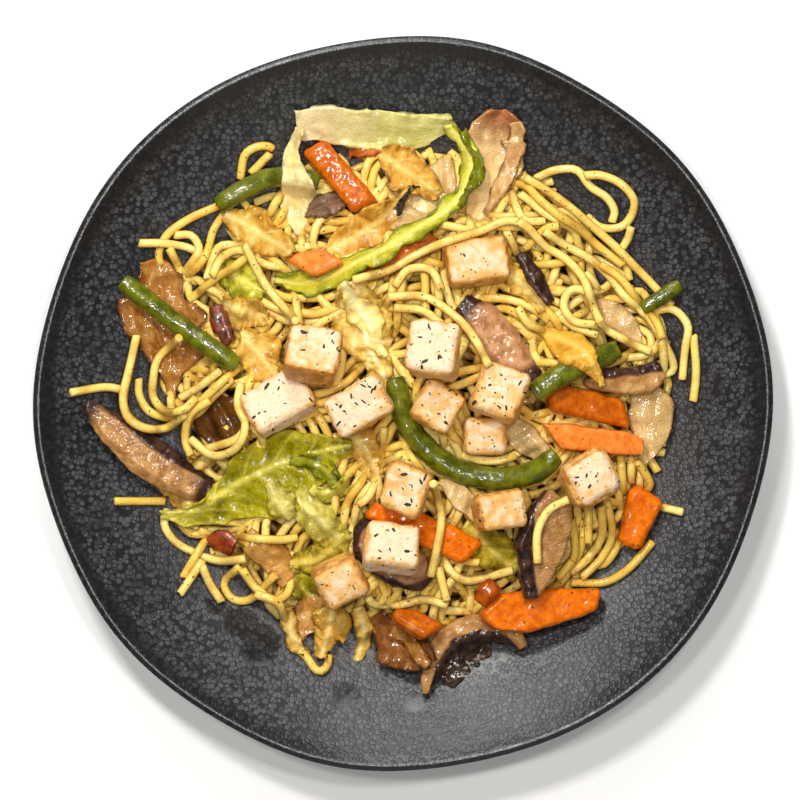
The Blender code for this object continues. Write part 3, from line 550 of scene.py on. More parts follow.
def carrot_paint(name, bright, deep):
    paint = Paint(name, Specular_IOR_Level=0.08)
    streak = paint.noise(2.6 * MM, detail=4, stretch=(1, 1, 0.5))
    base = paint.mix(paint.mapped(streak, 0.32, 0.68), bright, deep)
    # Painted shade: faces that lean away from the lights above take the deeper colour.
    base = paint.mix(paint.mapped(paint.attribute("side"), 0.1, 0.9, 0, 0.6), base, deep)
    base = paint.mix(paint.mapped(paint.noise(7 * MM), 0.62, 0.75, 0, 0.35), base, (0.96, 0.38, 0.06))
    paint.colour(base)
    paint.patchy_roughness(2.5 * MM, 0.50, 0.30)
    paint.bump((paint.noise(1.0 * MM, detail=2), 0.16 * MM), (paint.noise(4 * MM), 0.16 * MM))
    wet(paint, 0.42, 0.10, 0.16 * MM)
    scatter_light(paint, 0.15, 1.5 * MM)
    return paint.material


def bean_paint():
    paint = Paint("green_bean", Specular_IOR_Level=0.15)
    patch = paint.noise(5 * MM, detail=4)
    base = paint.mix(paint.mapped(patch, 0.35, 0.65), (0.060, 0.074, 0.0008), (0.160, 0.168, 0.005))
    fleck = paint.mapped(paint.noise(0.9 * MM, detail=2), 0.62, 0.74)
    base = paint.mix(paint.math("MULTIPLY", fleck, 0.5), base, (0.30, 0.33, 0.07))
    base = paint.mix(paint.attribute("cut"), base, (0.50, 0.52, 0.22))
    paint.colour(base)
    paint.patchy_roughness(2 * MM, 0.40, 0.22)
    paint.bump((paint.noise(1.2 * MM, detail=2), 0.24 * MM))
    wet(paint, 0.8)
    return paint.material


def mushroom_paint(name, pale, deep):
    """Dark wet skin where the attribute skin is 1, and tan flesh with gill lines where it is 0."""
    paint = Paint(name, Specular_IOR_Level=0.12)
    patch = paint.noise(3.5 * MM, detail=4)
    flesh = paint.mix(paint.mapped(patch, 0.3, 0.7), pale, deep)
    flesh = paint.mix(paint.math("MULTIPLY", paint.attribute("gill"), 0.6), flesh, (0.17, 0.07, 0.025))
    dark = paint.mix(paint.mapped(patch, 0.35, 0.65), (0.018, 0.008, 0.006), (0.070, 0.028, 0.018))
    paint.colour(paint.mix(paint.attribute("skin"), flesh, dark))
    paint.roughness(paint.mapped(paint.attribute("skin"), 0, 1, 0.5, 0.25))
    paint.bump((paint.noise(0.9 * MM, detail=3), 0.26 * MM), (paint.noise(3 * MM), 0.15 * MM))
    wet(paint, 0.55, 0.12, 0.20 * MM)
    return paint.material


def leaf_paint(name, deep, light, rib, tip, hem=None):
    """Wilted cabbage: deep and light patches, painted light on the crests of the folds by the attribute fold,
    pale ribs by the attribute vein, and rims by rim and hem.
    """
    paint = Paint(name, Specular_IOR_Level=0.08)
    patch = paint.noise(5 * MM, detail=4, rough=0.55, warp=0.5)
    base = paint.mix(paint.mapped(patch, 0.34, 0.66), deep, light)
    # Painted light and shade: lighter on the crests of the folds, darker in the creases.
    base = paint.mix(paint.mapped(paint.attribute("fold"), -0.5, 0.9, 0.0, 0.6), base, light)
    if hem:
        base = paint.mix(paint.mapped(paint.attribute("edge"), 0.60, 1.0, 0.0, 0.8), base, hem)
    net = paint.cells(2.6 * MM, feature="DISTANCE_TO_EDGE", warp=0.8)
    base = paint.mix(paint.mapped(net, 0.10, 0.01, 0, 0.16), base, rib)
    base = paint.mix(paint.attribute("vein"), base, rib)
    rim = paint.math("MULTIPLY", paint.attribute("rim"), paint.mapped(paint.noise(3 * MM), 0.40, 0.62))
    paint.colour(paint.mix(rim, base, tip))
    paint.patchy_roughness(2 * MM, 0.48, 0.28)
    paint.bump((paint.mapped(net, 0.0, 0.3), 0.12 * MM), (paint.noise(1.3 * MM, detail=2), 0.28 * MM))
    wet(paint, 0.6, 0.09, 0.55 * MM)
    scatter_light(paint, 0.15, 1.2 * MM)
    return paint.material


def onion_paint(name, body, line, tip, grain=0.5):
    """A cooked onion petal: lengthwise lines by the attribute vein, and a browned end by rim."""
    paint = Paint(name, Specular_IOR_Level=0.1)
    patch = paint.noise(6 * MM, detail=4)
    base = paint.mix(paint.mapped(patch, 0.3, 0.7, 0, 0.8), body, line)
    base = paint.mix(paint.math("MULTIPLY", paint.attribute("vein"), 0.7), base, line)
    paint.colour(paint.mix(paint.attribute("rim"), base, tip))
    paint.patchy_roughness(2.5 * MM, 0.34, 0.14)
    paint.bump((paint.noise(0.8 * MM, detail=2), grain * MM), (paint.noise(3.5 * MM), 0.5 * MM))
    wet(paint, 1.0, 0.09, 0.6 * MM)
    scatter_light(paint, 0.25, 2 * MM)
    return paint.material


def plain_paint(name, colour, other, roughness, size=2 * MM, oil=0.0):
    paint = Paint(name, Roughness=roughness)
    paint.colour(paint.mix(paint.mapped(paint.noise(size), 0.35, 0.65), colour, other))
    paint.bump((paint.noise(size / 2, detail=3), 0.25 * MM))
    if oil:
        wet(paint, oil)
    return paint.material


# ---------------------------------------------------------------- plate


def bowl_height(radius):
    rise = np.maximum(0, (radius - FLOOR_RADIUS) / (LIP_RADIUS - FLOOR_RADIUS))
    return FLOOR_HEIGHT + (PLATE_HEIGHT - LIP_DROP - FLOOR_HEIGHT) * rise**BOWL_CURVE


def rim_factor(angle):
    """How far the rim stands out at this angle, as a share of its mean radius."""
    return 1 + sum(share * np.cos(count * angle + math.radians(phase)) for count, share, phase in RIM_WAVES)


def round_lip(start, crest, end, count=5):
    """The lip as a smooth bend from one point over a crest to another."""
    t = np.linspace(0, 1, count + 2)[1:-1, None]
    start, crest, end = (np.array(point) for point in (start, crest, end))
    return (1 - t) ** 2 * start + 2 * t * (1 - t) * crest + t**2 * end


def plate_profile():
    """Radius and height from the middle of the floor, over the lip and down the outside to the foot."""
    inside = np.linspace(FLOOR_RADIUS, LIP_RADIUS, BOWL_RINGS)
    heights = bowl_height(inside)
    lean = np.arctan(np.gradient(heights, inside))
    outside = np.stack([inside + PLATE_WALL * np.sin(lean), heights - PLATE_WALL * np.cos(lean)], axis=1)
    underside = FLOOR_HEIGHT - PLATE_WALL
    floor = [(radius, FLOOR_HEIGHT) for radius in np.linspace(CAP_RADIUS, FLOOR_RADIUS, FLOOR_RINGS)[:-1]]
    edge = (PLATE_RADIUS, PLATE_HEIGHT - LIP_ROUND)
    lip = round_lip((LIP_RADIUS, heights[-1]), (LIP_RADIUS + LIP_CREST, PLATE_HEIGHT + LIP_DROP / 2), edge)
    under_lip = round_lip(edge, (PLATE_RADIUS, PLATE_HEIGHT - 2.2 * LIP_ROUND), outside[-1])
    foot = [
        (FOOT_RADIUS + FOOT_CHAMFER, underside),
        (FOOT_RADIUS, 0),
        (FOOT_RADIUS - FOOT_WIDTH, 0),
        (FOOT_RADIUS - FOOT_WIDTH - FOOT_CHAMFER, underside),
        (CAP_RADIUS, underside),
    ]
    return np.array([*floor, *zip(inside, heights), *lip, edge, *under_lip, *outside[::-1], *foot])


def make_plate():
    profile = plate_profile()
    rings = len(profile)
    angles = np.linspace(0, math.tau, PLATE_SECTORS, endpoint=False)
    radius, height = (np.repeat(profile[:, [k]], PLATE_SECTORS, axis=1) for k in (0, 1))
    outward = np.maximum(0, (radius - FLOOR_RADIUS) / (PLATE_RADIUS - FLOOR_RADIUS))
    radius = radius * (1 + (rim_factor(angles)[None] - 1) * outward)
    x, y = radius * np.cos(angles), radius * np.sin(angles)
    points = np.stack([x, y, height], axis=-1)

    def rough(size):
        return rough_noise(points.reshape(-1, 3), size).reshape(radius.shape)

    inner = (np.arange(rings) < INNER_RINGS)[:, None]
    points[..., 2] += np.where(inner, UNDULATION * rough(WAVE_SIZE), 0)
    flecks = 1 - 0.9 * smoothstep(FLECKS_END, FLECKS_GONE, radius)
    spread = radius / core_reach(angles)[None] + 0.05 * rough(9 * MM)
    # Sauce, and painted shade of the heap, on the plate round the food.
    sauce = 0.85 * smoothstep(SAUCE_AND_SHADE_GONE, SAUCE_AND_SHADE_FULL, spread) * inner
    uneven = 0.35 * rough(6 * MM)
    oil = np.zeros(radius.shape)
    for middle_x, middle_y, reach in OIL_SPOTS:
        gap = np.hypot(x - middle_x * MM, y - middle_y * MM) / (reach * MM)
        oil = np.maximum(oil, smoothstep(1.1, 0.7, gap + uneven))
    faces = ring_faces(np.arange(radius.size).reshape(radius.shape))
    obj = object_of("coupe_plate", points.reshape(-1, 3), faces, sharp=40, flecks=flecks.ravel(),
                    sauce=sauce.ravel(), oil=(oil * inner).ravel())
    return hand_over(obj, "glaze", "plate", surface=glaze())


# ---------------------------------------------------------------- height maps


def cell_of(values):
    return np.clip(np.rint((np.asarray(values) + HALF_SPAN) / CELL).astype(int), 0, CELLS - 1)


def disk(radius):
    """Cells under a round noodle of this radius, and how much lower than its middle its surface is there."""
    reach = int(radius / CELL)
    rows, columns = np.mgrid[-reach : reach + 1, -reach : reach + 1]
    square = (rows**2 + columns**2) * CELL**2
    inside = square < radius**2
    return rows[inside], columns[inside], np.sqrt(radius**2 - square[inside])


GRID_X, GRID_Y = np.meshgrid(*2 * [np.arange(CELLS) * CELL - HALF_SPAN])
GRID_RADIUS, GRID_ANGLE = np.hypot(GRID_X, GRID_Y), np.arctan2(GRID_Y, GRID_X)
DISK = disk(NOODLE_RADIUS)


def cells_under(line):
    """The cells under a noodle, a row for each point of its line, and the disk's rise over them."""
    rows, columns, rise = DISK
    return (cell_of(line[:, 1])[:, None] + rows, cell_of(line[:, 0])[:, None] + columns), rise


def node_maps(names):
    """The lowest and highest surface of these nodes over each cell."""
    low, high = np.full((CELLS, CELLS), np.inf), np.full((CELLS, CELLS), -np.inf)
    for name in names:
        tree = tree_of(NODES[name].data)
        lowest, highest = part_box(name)
        rows = range(cell_of(lowest[1]), cell_of(highest[1]) + 1)
        columns = range(cell_of(lowest[0]), cell_of(highest[0]) + 1)
        for i in rows:
            for j in columns:
                x, y = j * CELL - HALF_SPAN, i * CELL - HALF_SPAN
                above, below = top_of(tree, x, y), bottom_of(tree, x, y)
                if above is None:
                    continue
                high[i, j] = max(high[i, j], above.z)
                low[i, j] = min(low[i, j], below.z if below else above.z)
    return low, high


def core_reach(angle):
    """The heap's uneven outline: its radius at this angle."""
    waves = 0.018 * np.cos(3 * angle + 0.4) + 0.016 * np.cos(5 * angle)
    return CORE_RADIUS * (1 + waves) + CORE_SHIFT * np.cos(angle - CORE_SHIFT_ANGLE)


def core_height(radius, angle, shrink=1.0):
    share = np.minimum(1, radius / (core_reach(angle) * shrink))
    return FLOOR_HEIGHT + CORE_EDGE + (CORE_HEIGHT - CORE_EDGE) * (1 - share**2.2) ** 0.85


# ---------------------------------------------------------------- noodles


class Heap:
    """Noodles and scraps, piled one by one on a height map between the core and the toppings' undersides."""

    def __init__(self, plate_map, core_map, topping_low, topping_high):
        self.plate = plate_map
        self.height = core_map
        self.ceiling = topping_low
        self.toppings = topping_high
        self.tubes = {}

    @staticmethod
    def under(line, surface, combine, sign):
        at, rise = cells_under(line)
        return combine(surface[at] + sign * rise, axis=1)

    def settle(self, line, over):
        """Centre heights along a plan line, and which of its points have room for a noodle."""
        floor = self.under(line, self.plate, np.max, 1) + CLEARANCE
        need = np.maximum(floor, self.under(line, self.height, np.max, 1) - PRESSED)
        if over:
            need = np.maximum(need, self.under(line, self.toppings, np.max, 1) + CLEARANCE)
        height = need
        for _ in range(SETTLE_ROUNDS):
            height = np.maximum(need, blurred(height, 1))
        if over:
            return height, np.ones(len(line), bool)
        limit = self.under(line, self.ceiling, np.min, -1) - CLEARANCE
        height = np.minimum(height, limit)
        for _ in range(SETTLE_ROUNDS // 2):
            height = np.minimum(limit, blurred(height, 1))
        height = np.maximum(height, floor)
        return height, height <= limit + 0.5 * MM

    def stamp(self, line, height):
        at, rise = cells_under(line)
        np.maximum.at(self.height, at, height[:, None] + rise)

    def lay(self, route, piece, draw, over=False, shortest=SHORTEST_STRAND, sunk=0.0):
        """Lays a noodle along a route in metres, in as many stretches as the toppings leave of it."""
        line = evenly(route, STRAND_STEP)
        height, room = self.settle(line, over)
        edges = np.flatnonzero(np.diff(np.concatenate([[0], room.astype(int), [0]])))
        tone = draw.random()
        for start, end in zip(edges[::2], edges[1::2]):
            if (end - start) * STRAND_STEP >= shortest:
                stretch, lie = line[start:end], height[start:end].copy()
                self.stamp(stretch, lie)
                if sunk:
                    # The ends of a noodle inside the heap dip between the ones below.
                    along = np.arange(len(lie)) * STRAND_STEP
                    lie -= sunk * smoothstep(DIP_LENGTH, 0, np.minimum(along, along[-1] - along))
                    lie = np.maximum(lie, self.under(stretch, self.plate, np.max, 1) + CLEARANCE)
                self.add_tube(piece, np.column_stack([stretch, lie]), tone, draw)

    def add_tube(self, piece, spine, tone, draw):
        """A noodle's mesh: slightly flattened, of uneven thickness, with its ends cut off at a slant."""
        length = len(spine) * STRAND_STEP
        spine = catmull_rom(spine, max(4, int(length / TUBE_STEP) + 1))
        ahead, side, up = frame_along(spine)
        place = in_line(np.linspace(0, length, len(spine)), 99 * tone)
        radius = NOODLE_RADIUS * (0.98 + 0.05 * noise(place, 9 * MM))
        flat = 0.05 * noise(place, 14 * MM, seed=2)
        angles = np.linspace(0, math.tau, TUBE_SIDES, endpoint=False)
        around = side[:, None] * (np.cos(angles) * NOODLE_WIDENING)[None, :, None]
        around = around + up[:, None] * np.sin(angles)[None, :, None] * (1 - flat)[:, None, None]
        rings = spine[:, None] + around * radius[:, None, None]
        ends = []
        for last, outward, slant in zip((0, -1), (-1, 1), draw.uniform(-END_SLANT, END_SLANT, 2)):
            past = outward * NOODLE_RADIUS * (0.22 + slant * np.cos(angles))[:, None]
            ends.append(rings[last] + 0.35 * (spine[last] - rings[last]) + ahead[last] * past)
        rings = np.concatenate([ends[:1], rings, ends[1:]])
        sunk = core_height(np.hypot(*spine.T[:2]), np.arctan2(spine[:, 1], spine[:, 0])) - spine[:, 2]
        sunk = np.concatenate([sunk[:1], sunk, sunk[-1:]])
        # Painted shade: the deeper a noodle lies under the core's surface, the darker it is painted.
        depth = 0.95 * smoothstep(*PAINTED_SHADE_DEPTHS, sunk)
        self.tubes.setdefault(piece, []).append((rings, tone, depth))

    def finish(self, piece, surface, *nodes):
        """Joins a piece's noodles into one object."""
        points, faces, tones, depths, start = [], [], [], [], 0
        for rings, tone, depth in self.tubes.pop(piece):
            count = len(rings)
            faces += ring_faces(start + np.arange(count * TUBE_SIDES).reshape(count, TUBE_SIDES))
            points.append(rings.reshape(-1, 3))
            tones.append(np.full(count * TUBE_SIDES, tone))
            depths.append(np.repeat(depth, TUBE_SIDES))
            start += count * TUBE_SIDES
        obj = object_of(piece, np.concatenate(points), faces, sharp=60, tone=np.concatenate(tones),
                        depth=np.concatenate(depths))
        return hand_over(obj, "noodle", *nodes, surface=surface)


def share_of_reach(x, y):
    """How far out a place is, as a share of the noodles' outline."""
    return np.hypot(x, y) / (core_reach(np.arctan2(y, x)) + FILL_OVERHANG)


def wandering_route(draw, steps):
    """A random noodle's route in metres. It bends gently, and turns back at the outline of the heap."""
    angle, share = draw.uniform(0, math.tau), math.sqrt(draw.uniform(0.0, 0.95))
    reach = (core_reach(angle) + FILL_OVERHANG) * share
    x, y = reach * math.cos(angle), reach * math.sin(angle)
    heading, bend = draw.uniform(0, math.tau), draw.uniform(-0.16, 0.16)
    route = [(x, y)]
    for _ in range(draw.integers(*steps)):
        bend = np.clip(bend + draw.uniform(-0.10, 0.10), -0.40, 0.40)
        heading += bend
        x, y = x + WANDER_STEP * math.cos(heading), y + WANDER_STEP * math.sin(heading)
        outside = share_of_reach(x, y)
        if outside > 0.93:
            inward = math.atan2(-y, -x)
            turn = (inward - heading + math.pi) % math.tau - math.pi
            heading += np.clip(turn, -0.55, 0.55)
            if outside > 1.0:
                break
        route.append((x, y))
    return np.array(route)


def fill_heap(heap, target, draw):
    """Seeded random noodles, in bundles, each the choice of several that lies where the heap is lowest."""
    for number in range(FILL_STRANDS):
        best, best_depth = None, -np.inf
        steps = (8, 18) if number < FILL_STRANDS / 2 else (13, 27)
        for _ in range(FILL_CHOICES):
            route = wandering_route(draw, steps)
            if len(route) < 5:
                continue
            line = catmull_rom(route, 24)
            at = cell_of(line[:, 1]), cell_of(line[:, 0])
            room = np.minimum(target[at], heap.ceiling[at])
            depth = (room - heap.height[at]).mean()
            if depth > best_depth:
                best, best_depth = route, depth
        if best is None or best_depth < -1 * MM:
            continue
        beside, gap = sideways(best), draw.uniform(1.05, 1.5) * 2 * NOODLE_RADIUS
        for k in range(draw.integers(1, BUNDLE + 1)):
            strand = best + beside * gap * k + draw.normal(0, 0.5 * MM, best.shape)
            strand = strand[draw.integers(0, 2): len(strand) - draw.integers(0, 2)]
            strand = strand[share_of_reach(*strand.T) < 1.02]
            if len(strand) > 3:
                piece = f"noodles_under_{1 + number * UNDER_PIECES // FILL_STRANDS}"
                heap.lay(strand, piece, draw, sunk=SUNK_ENDS)


# Noodles that show, in the order in which they lie, from the lowest to the uppermost.
HERO_NOODLES = (
    # Right and upper right.
    ((107, 25), (108, 12), (107, 1)),
    ((93, 34), (98, 35), (102, 33), (105, 28), (104, 21), (103, 9)),
    ((49, 83), (56, 86), (64, 86), (69, 80), (75, 76), (78, 71), (77, 67)),
    ((67, 84), (73, 84), (80, 81), (85, 75), (84, 69), (80, 65), (73, 65), (68, 69)),
    ((43, 13), (52, 15), (60, 14)),
    ((60, 11), (69, 13), (77, 15), (84, 19), (88, 24)),
    ((58, 32), (63, 28), (71, 25)),
    ((52, 35), (57, 29), (58, 26)),
    ((70, 29), (63, 30), (59, 35), (60, 40), (63, 42), (68, 41)),
    ((42, 35), (46, 29), (52, 27)),
    ((46, 25), (55, 23)),
    ((40, 78), (42, 71), (45, 67), (52, 67)),
    ((43, 77), (47, 74), (52, 70), (57, 67)),
    ((38, 63), (42, 55)),
    ((45, 57), (52, 64), (57, 65)),
    ((80, 56), (83, 61), (84, 65)),
    ((38, 82), (45, 80), (50, 75), (57, 69), (65, 64), (72, 58), (81, 51)),
    ((52, 63), (60, 58), (69, 53), (76, 47), (81, 40), (88, 34), (94, 26), (96, 15), (95, 9)),
    ((45, 83), (55, 77), (63, 71), (70, 65), (77, 59), (84, 52), (91, 45), (99, 36)),
    ((73, 51), (80, 46), (87, 37), (93, 30), (95, 24)),
    ((67, 48), (71, 43), (74, 36), (79, 30)),
    # Left and upper left.
    ((-53, 56), (-44, 50), (-40, 41), (-38, 29)),
    ((-68, 73), (-79, 68), (-87, 62), (-90, 55), (-88, 49), (-82, 43)),
    ((-97, 59), (-89, 59), (-81, 58), (-76, 56)),
    ((-84, 62), (-78, 62), (-75, 57), (-77, 53), (-81, 48)),
    ((-66, 70), (-70, 64), (-72, 56), (-75, 51), (-80, 47)),
    ((-86, 57), (-84, 53), (-81, 47), (-76, 45)),
    ((-52, 70), (-53, 62), (-55, 56), (-62, 50), (-69, 46), (-79, 38)),
    ((-60, 76), (-56, 70), (-55, 63), (-56, 59)),
    ((-72, 46), (-70, 53), (-67, 58), (-59, 58)),
    ((-70, 47), (-67, 53), (-62, 56), (-57, 56)),
    ((-60, 83), (-58, 92), (-51, 95), (-46, 92), (-47, 86)),
    ((-56, 85), (-49, 92)),
    ((-122, 4), (-110, 6), (-103, 5)),
    ((-103, 17), (-98, 19)),
    ((-98, 25), (-101, 12), (-103, 2), (-101, -5), (-95, -9), (-87, -9), (-80, -4)),
    ((-67, 12), (-75, 6), (-82, 2)),
    ((-97.5, 9), (-97.3, 3), (-93.5, -3), (-85.5, -5.3), (-76.5, -4.2), (-69.6, 2.7), (-62.5, 9)),
    ((-60.5, 13), (-68.4, 6.1), (-75.3, -0.8), (-79, -7.6), (-79.3, -14.4), (-77.3, -20.1)),
    ((-59.5, 7.2), (-60.5, -0.8), (-57.6, -7.6), (-60.5, -12.7), (-68.4, -15.6), (-76.4, -17.8)),
    ((-71, 1), (-78, -4), (-80, -13), (-78, -19)),
    ((-78, -13), (-70, -19), (-62, -17), (-58, -11), (-58, -3)),
    # Near side.
    ((-106, -36), (-96, -36), (-88, -36)),
    ((-87, -39), (-88, -45), (-84, -51), (-77, -55), (-68, -58), (-58, -57)),
    ((-83, -43), (-78, -48), (-68, -48), (-56, -52)),
    ((-72, -49), (-77, -57), (-81, -64)),
    ((-74, -58), (-78, -64), (-82, -70)),
    ((-74, -60), (-71, -67), (-67, -73)),
    ((-60, -60), (-66, -66), (-63, -72), (-56, -72), (-47, -63)),
    ((-59, -61), (-54, -68), (-47, -72), (-42, -69), (-41, -62)),
    ((-54, -70), (-46, -73), (-43.6, -79.3), (-40.2, -88.5), (-35.5, -93.5), (-33.2, -97), (-30.6, -98.8),
     (-28, -96.6), (-27.4, -92), (-28.3, -85)),
    ((-75, -47), (-60, -49), (-45, -50), (-39, -49)),
    ((87, -35), (95, -38), (103, -40)),
    ((62, -66), (74, -66), (83, -61), (92, -51)),
    ((75, -36), (77, -48), (73, -57), (66, -64)),
    ((73, -38), (73, -49), (68, -57), (62, -62)),
    ((68, -38), (68, -51)),
    ((62, -43), (63, -56), (57, -62)),
    ((80, -19), (81, -33)),
    ((84, -19), (84, -29)),
    ((86, -21), (91, -29), (90, -32)),
    ((88, -16), (94, -25)),
    ((51, -29), (59, -20), (63, -16)),
    ((14, -40), (15, -55), (18, -62), (25, -65), (40, -61)),
    ((8, -9), (16, -16), (25, -20), (34, -21), (41, -19)),
    ((-1, -74), (8, -72), (16, -74)),
    ((-13, -71), (-10, -74), (-1, -74)),
    ((13, -60), (16, -72)),
    ((57, -64), (62, -58)),
    ((-3, 43), (2, 49), (10, 49), (14, 42)),
    ((-3, 35), (7, 34), (14, 29)),
    ((-7, -9), (-8, -22), (-12, -33), (-16, -37)),
)

# Noodles that lie over toppings.
OVER_NOODLES = (
    ((-18, 45), (-5, 49), (10, 57), (28, 63), (38, 67), (45, 65), (52, 58), (60, 53), (66, 46), (69, 38),
     (73, 29), (80, 24), (91, 19)),
    ((-5, 39), (8, 39), (19, 32), (26, 24), (31, 14)),
    ((-58, 58), (-50, 43), (-39, 30)),
    ((-98, 25), (-101, 12), (-103, 2), (-101, -5), (-95, -9), (-87, -9), (-80, -4)),
    ((-82, 24), (-90, 17), (-92, 9), (-92, 2), (-87, -3), (-80, -2), (-76, 2)),
    ((11, -29), (14, -41), (12, -55), (10, -63)),
    ((60, -35), (53, -39), (49, -47), (49, -58)),
)


# ---------------------------------------------------------------- blocks of tofu and carrot


def box_axes(mesh):
    """The three axes of a hand-cut block, from its faces' areas: rows of a rotation matrix."""
    normals = np.array([face.normal for face in mesh.polygons])
    areas = np.array([face.area for face in mesh.polygons])
    alike = np.abs(normals @ normals.T) > 0.97
    weight = alike @ areas
    first = normals[np.argmax(weight)]
    across = weight * (np.abs(normals @ first) < 0.3)
    second = normals[np.argmax(across)]
    second = second - first * (first @ second)
    second /= np.linalg.norm(second)
    return np.array([first, second, np.cross(first, second)])


def face_distances(points, axes):
    """How far each point lies inside each of the block's six sides."""
    local = (points - points.mean(axis=0)) @ axes.T
    return np.concatenate([local.max(axis=0) - local, local - local.min(axis=0)], axis=1)


# How far browning reaches from a cube's edges.
FRIED_EDGE = 1.5 * MM
# How browned each cube's top and sides are, and how many herb flakes lie on it.
TOFU_LOOKS = {
    1: (0.30, 0.60, 3), 2: (0.20, 0.80, 12), 3: (0.02, 0.24, 16), 4: (0.12, 0.32, 20), 5: (0.06, 0.42, 18),
    6: (0.30, 0.50, 14), 7: (0.32, 0.55, 16), 8: (0.26, 0.45, 6), 9: (0.34, 0.55, 13), 10: (0.34, 0.58, 6),
    11: (0.14, 0.50, 12), 12: (0.04, 0.25, 16), 13: (0.34, 0.68, 8),
}


def make_tofu(number, surface):
    name = f"tofu_{number}"
    draw = draw_for(name)
    obj = refined(f"fried_{name}", name, BLOCK_VOXEL, soften=9)
    points, normals = shape_of(obj)
    axes = box_axes(NODES[name].data)
    distances = face_distances(points, axes)
    order = np.sort(distances, axis=1)
    edge = np.exp(-order[:, 1] / FRIED_EDGE)
    top_brown, side_brown, _ = TOFU_LOOKS[number]
    outward = np.concatenate([axes, -axes])
    per_side = side_brown + draw.uniform(-0.12, 0.12, 6)
    per_side[np.argmax(outward[:, 2])] = top_brown
    nearest = np.argmin(distances, axis=1)
    mottle = rough_noise(points, 5 * MM, seed=number)
    browned = per_side[nearest] + 0.55 * edge * (0.8 + 0.7 * mottle) + 0.2 * mottle
    pits = smoothstep(0.45, 0.8, noise(points, 1.5 * MM, seed=number + 3))
    shift = 0.3 * MM + 0.75 * MM * rough_noise(points, 9 * MM, seed=number + 5)
    shift += 0.13 * MM * noise(points, 1.6 * MM, seed=number + 9) - 0.30 * MM * pits
    shift -= 0.9 * MM * smoothstep(0.3, 0.8, noise(points, 4 * MM, seed=number + 13)) * edge
    push_out(obj, points, normals, shift)
    set_attribute(obj, "browned", np.clip(browned, 0, 1))
    return hand_over(obj, "tofu", name, surface=surface)


CARROT_TINTS = {
    "bright": ((0.88, 0.200, 0.003), (0.66, 0.110, 0.001)),
    "salmon": ((0.90, 0.29, 0.050), (0.76, 0.18, 0.018)),
    "deep": ((0.66, 0.155, 0.005), (0.48, 0.085, 0.001)),
    "dark": ((0.46, 0.090, 0.002), (0.30, 0.040, 0.001)),
}
CARROTS = 10
CARROT_TINT_OF = {1: "deep", 2: "salmon", 3: "deep", 4: "deep", 5: "salmon", 9: "deep", 10: "dark"}


def make_carrot(number, surfaces):
    name = f"carrot_{number}"
    obj = refined(f"cut_{name}", name, BLOCK_VOXEL, soften=2)
    points, normals = shape_of(obj)
    shift = 0.6 * MM * rough_noise(points, 7 * MM, seed=number)
    shift += 0.14 * MM * noise(points, 1.5 * MM, seed=number + 4)
    push_out(obj, points, normals, shift)
    # Painted shade: side says how far each place faces away from the lights above.
    set_attribute(obj, "side", 1 - smoothstep(0.25, 0.75, normals[:, 2]))
    return hand_over(obj, "carrot", name, surface=surfaces[CARROT_TINT_OF.get(number, "bright")])


# ---------------------------------------------------------------- beans


BEANS = {
    "bean_1": (((-68, 73), (-60, 78), (-49, 83), (-38, 83), (-31, 81)), 7.7),
    "bean_2": (((-103, 45), (-89, 34), (-74, 23), (-61, 14)), 7.7),
    "bean_3": (((-3, 9), (1, -6), (9, -17), (21, -25), (36, -27.5), (48, -25), (56, -19)), 8.8),
    "bean_4": (((48, 4), (59, 11), (70, 16), (79, 20)), 8.8),
    "bean_5": (((88, 35), (95, 39), (102, 44)), 6),
}
BEAN_SIDES, BEAN_TAPER = 20, 4 * MM
SEED_SPACING = 9 * MM
# The seam's place round the bean and its width, as angles, and its depth as a share of the radius.
SEAM_ANGLE, SEAM_WIDTH, SEAM_DEPTH = 1.9, 0.25, 0.06


def middle_heights(name, plan):
    """A node's middle height under each plan point. Points outside it take their neighbour's."""
    tree = tree_of(NODES[name].data)
    found = np.full(len(plan), np.nan)
    for k, (x, y) in enumerate(plan):
        above, below = top_of(tree, x, y), bottom_of(tree, x, y)
        if above and below:
            found[k] = (above.z + below.z) / 2
    known = np.flatnonzero(~np.isnan(found))
    return np.interp(np.arange(len(plan)), known, found[known])


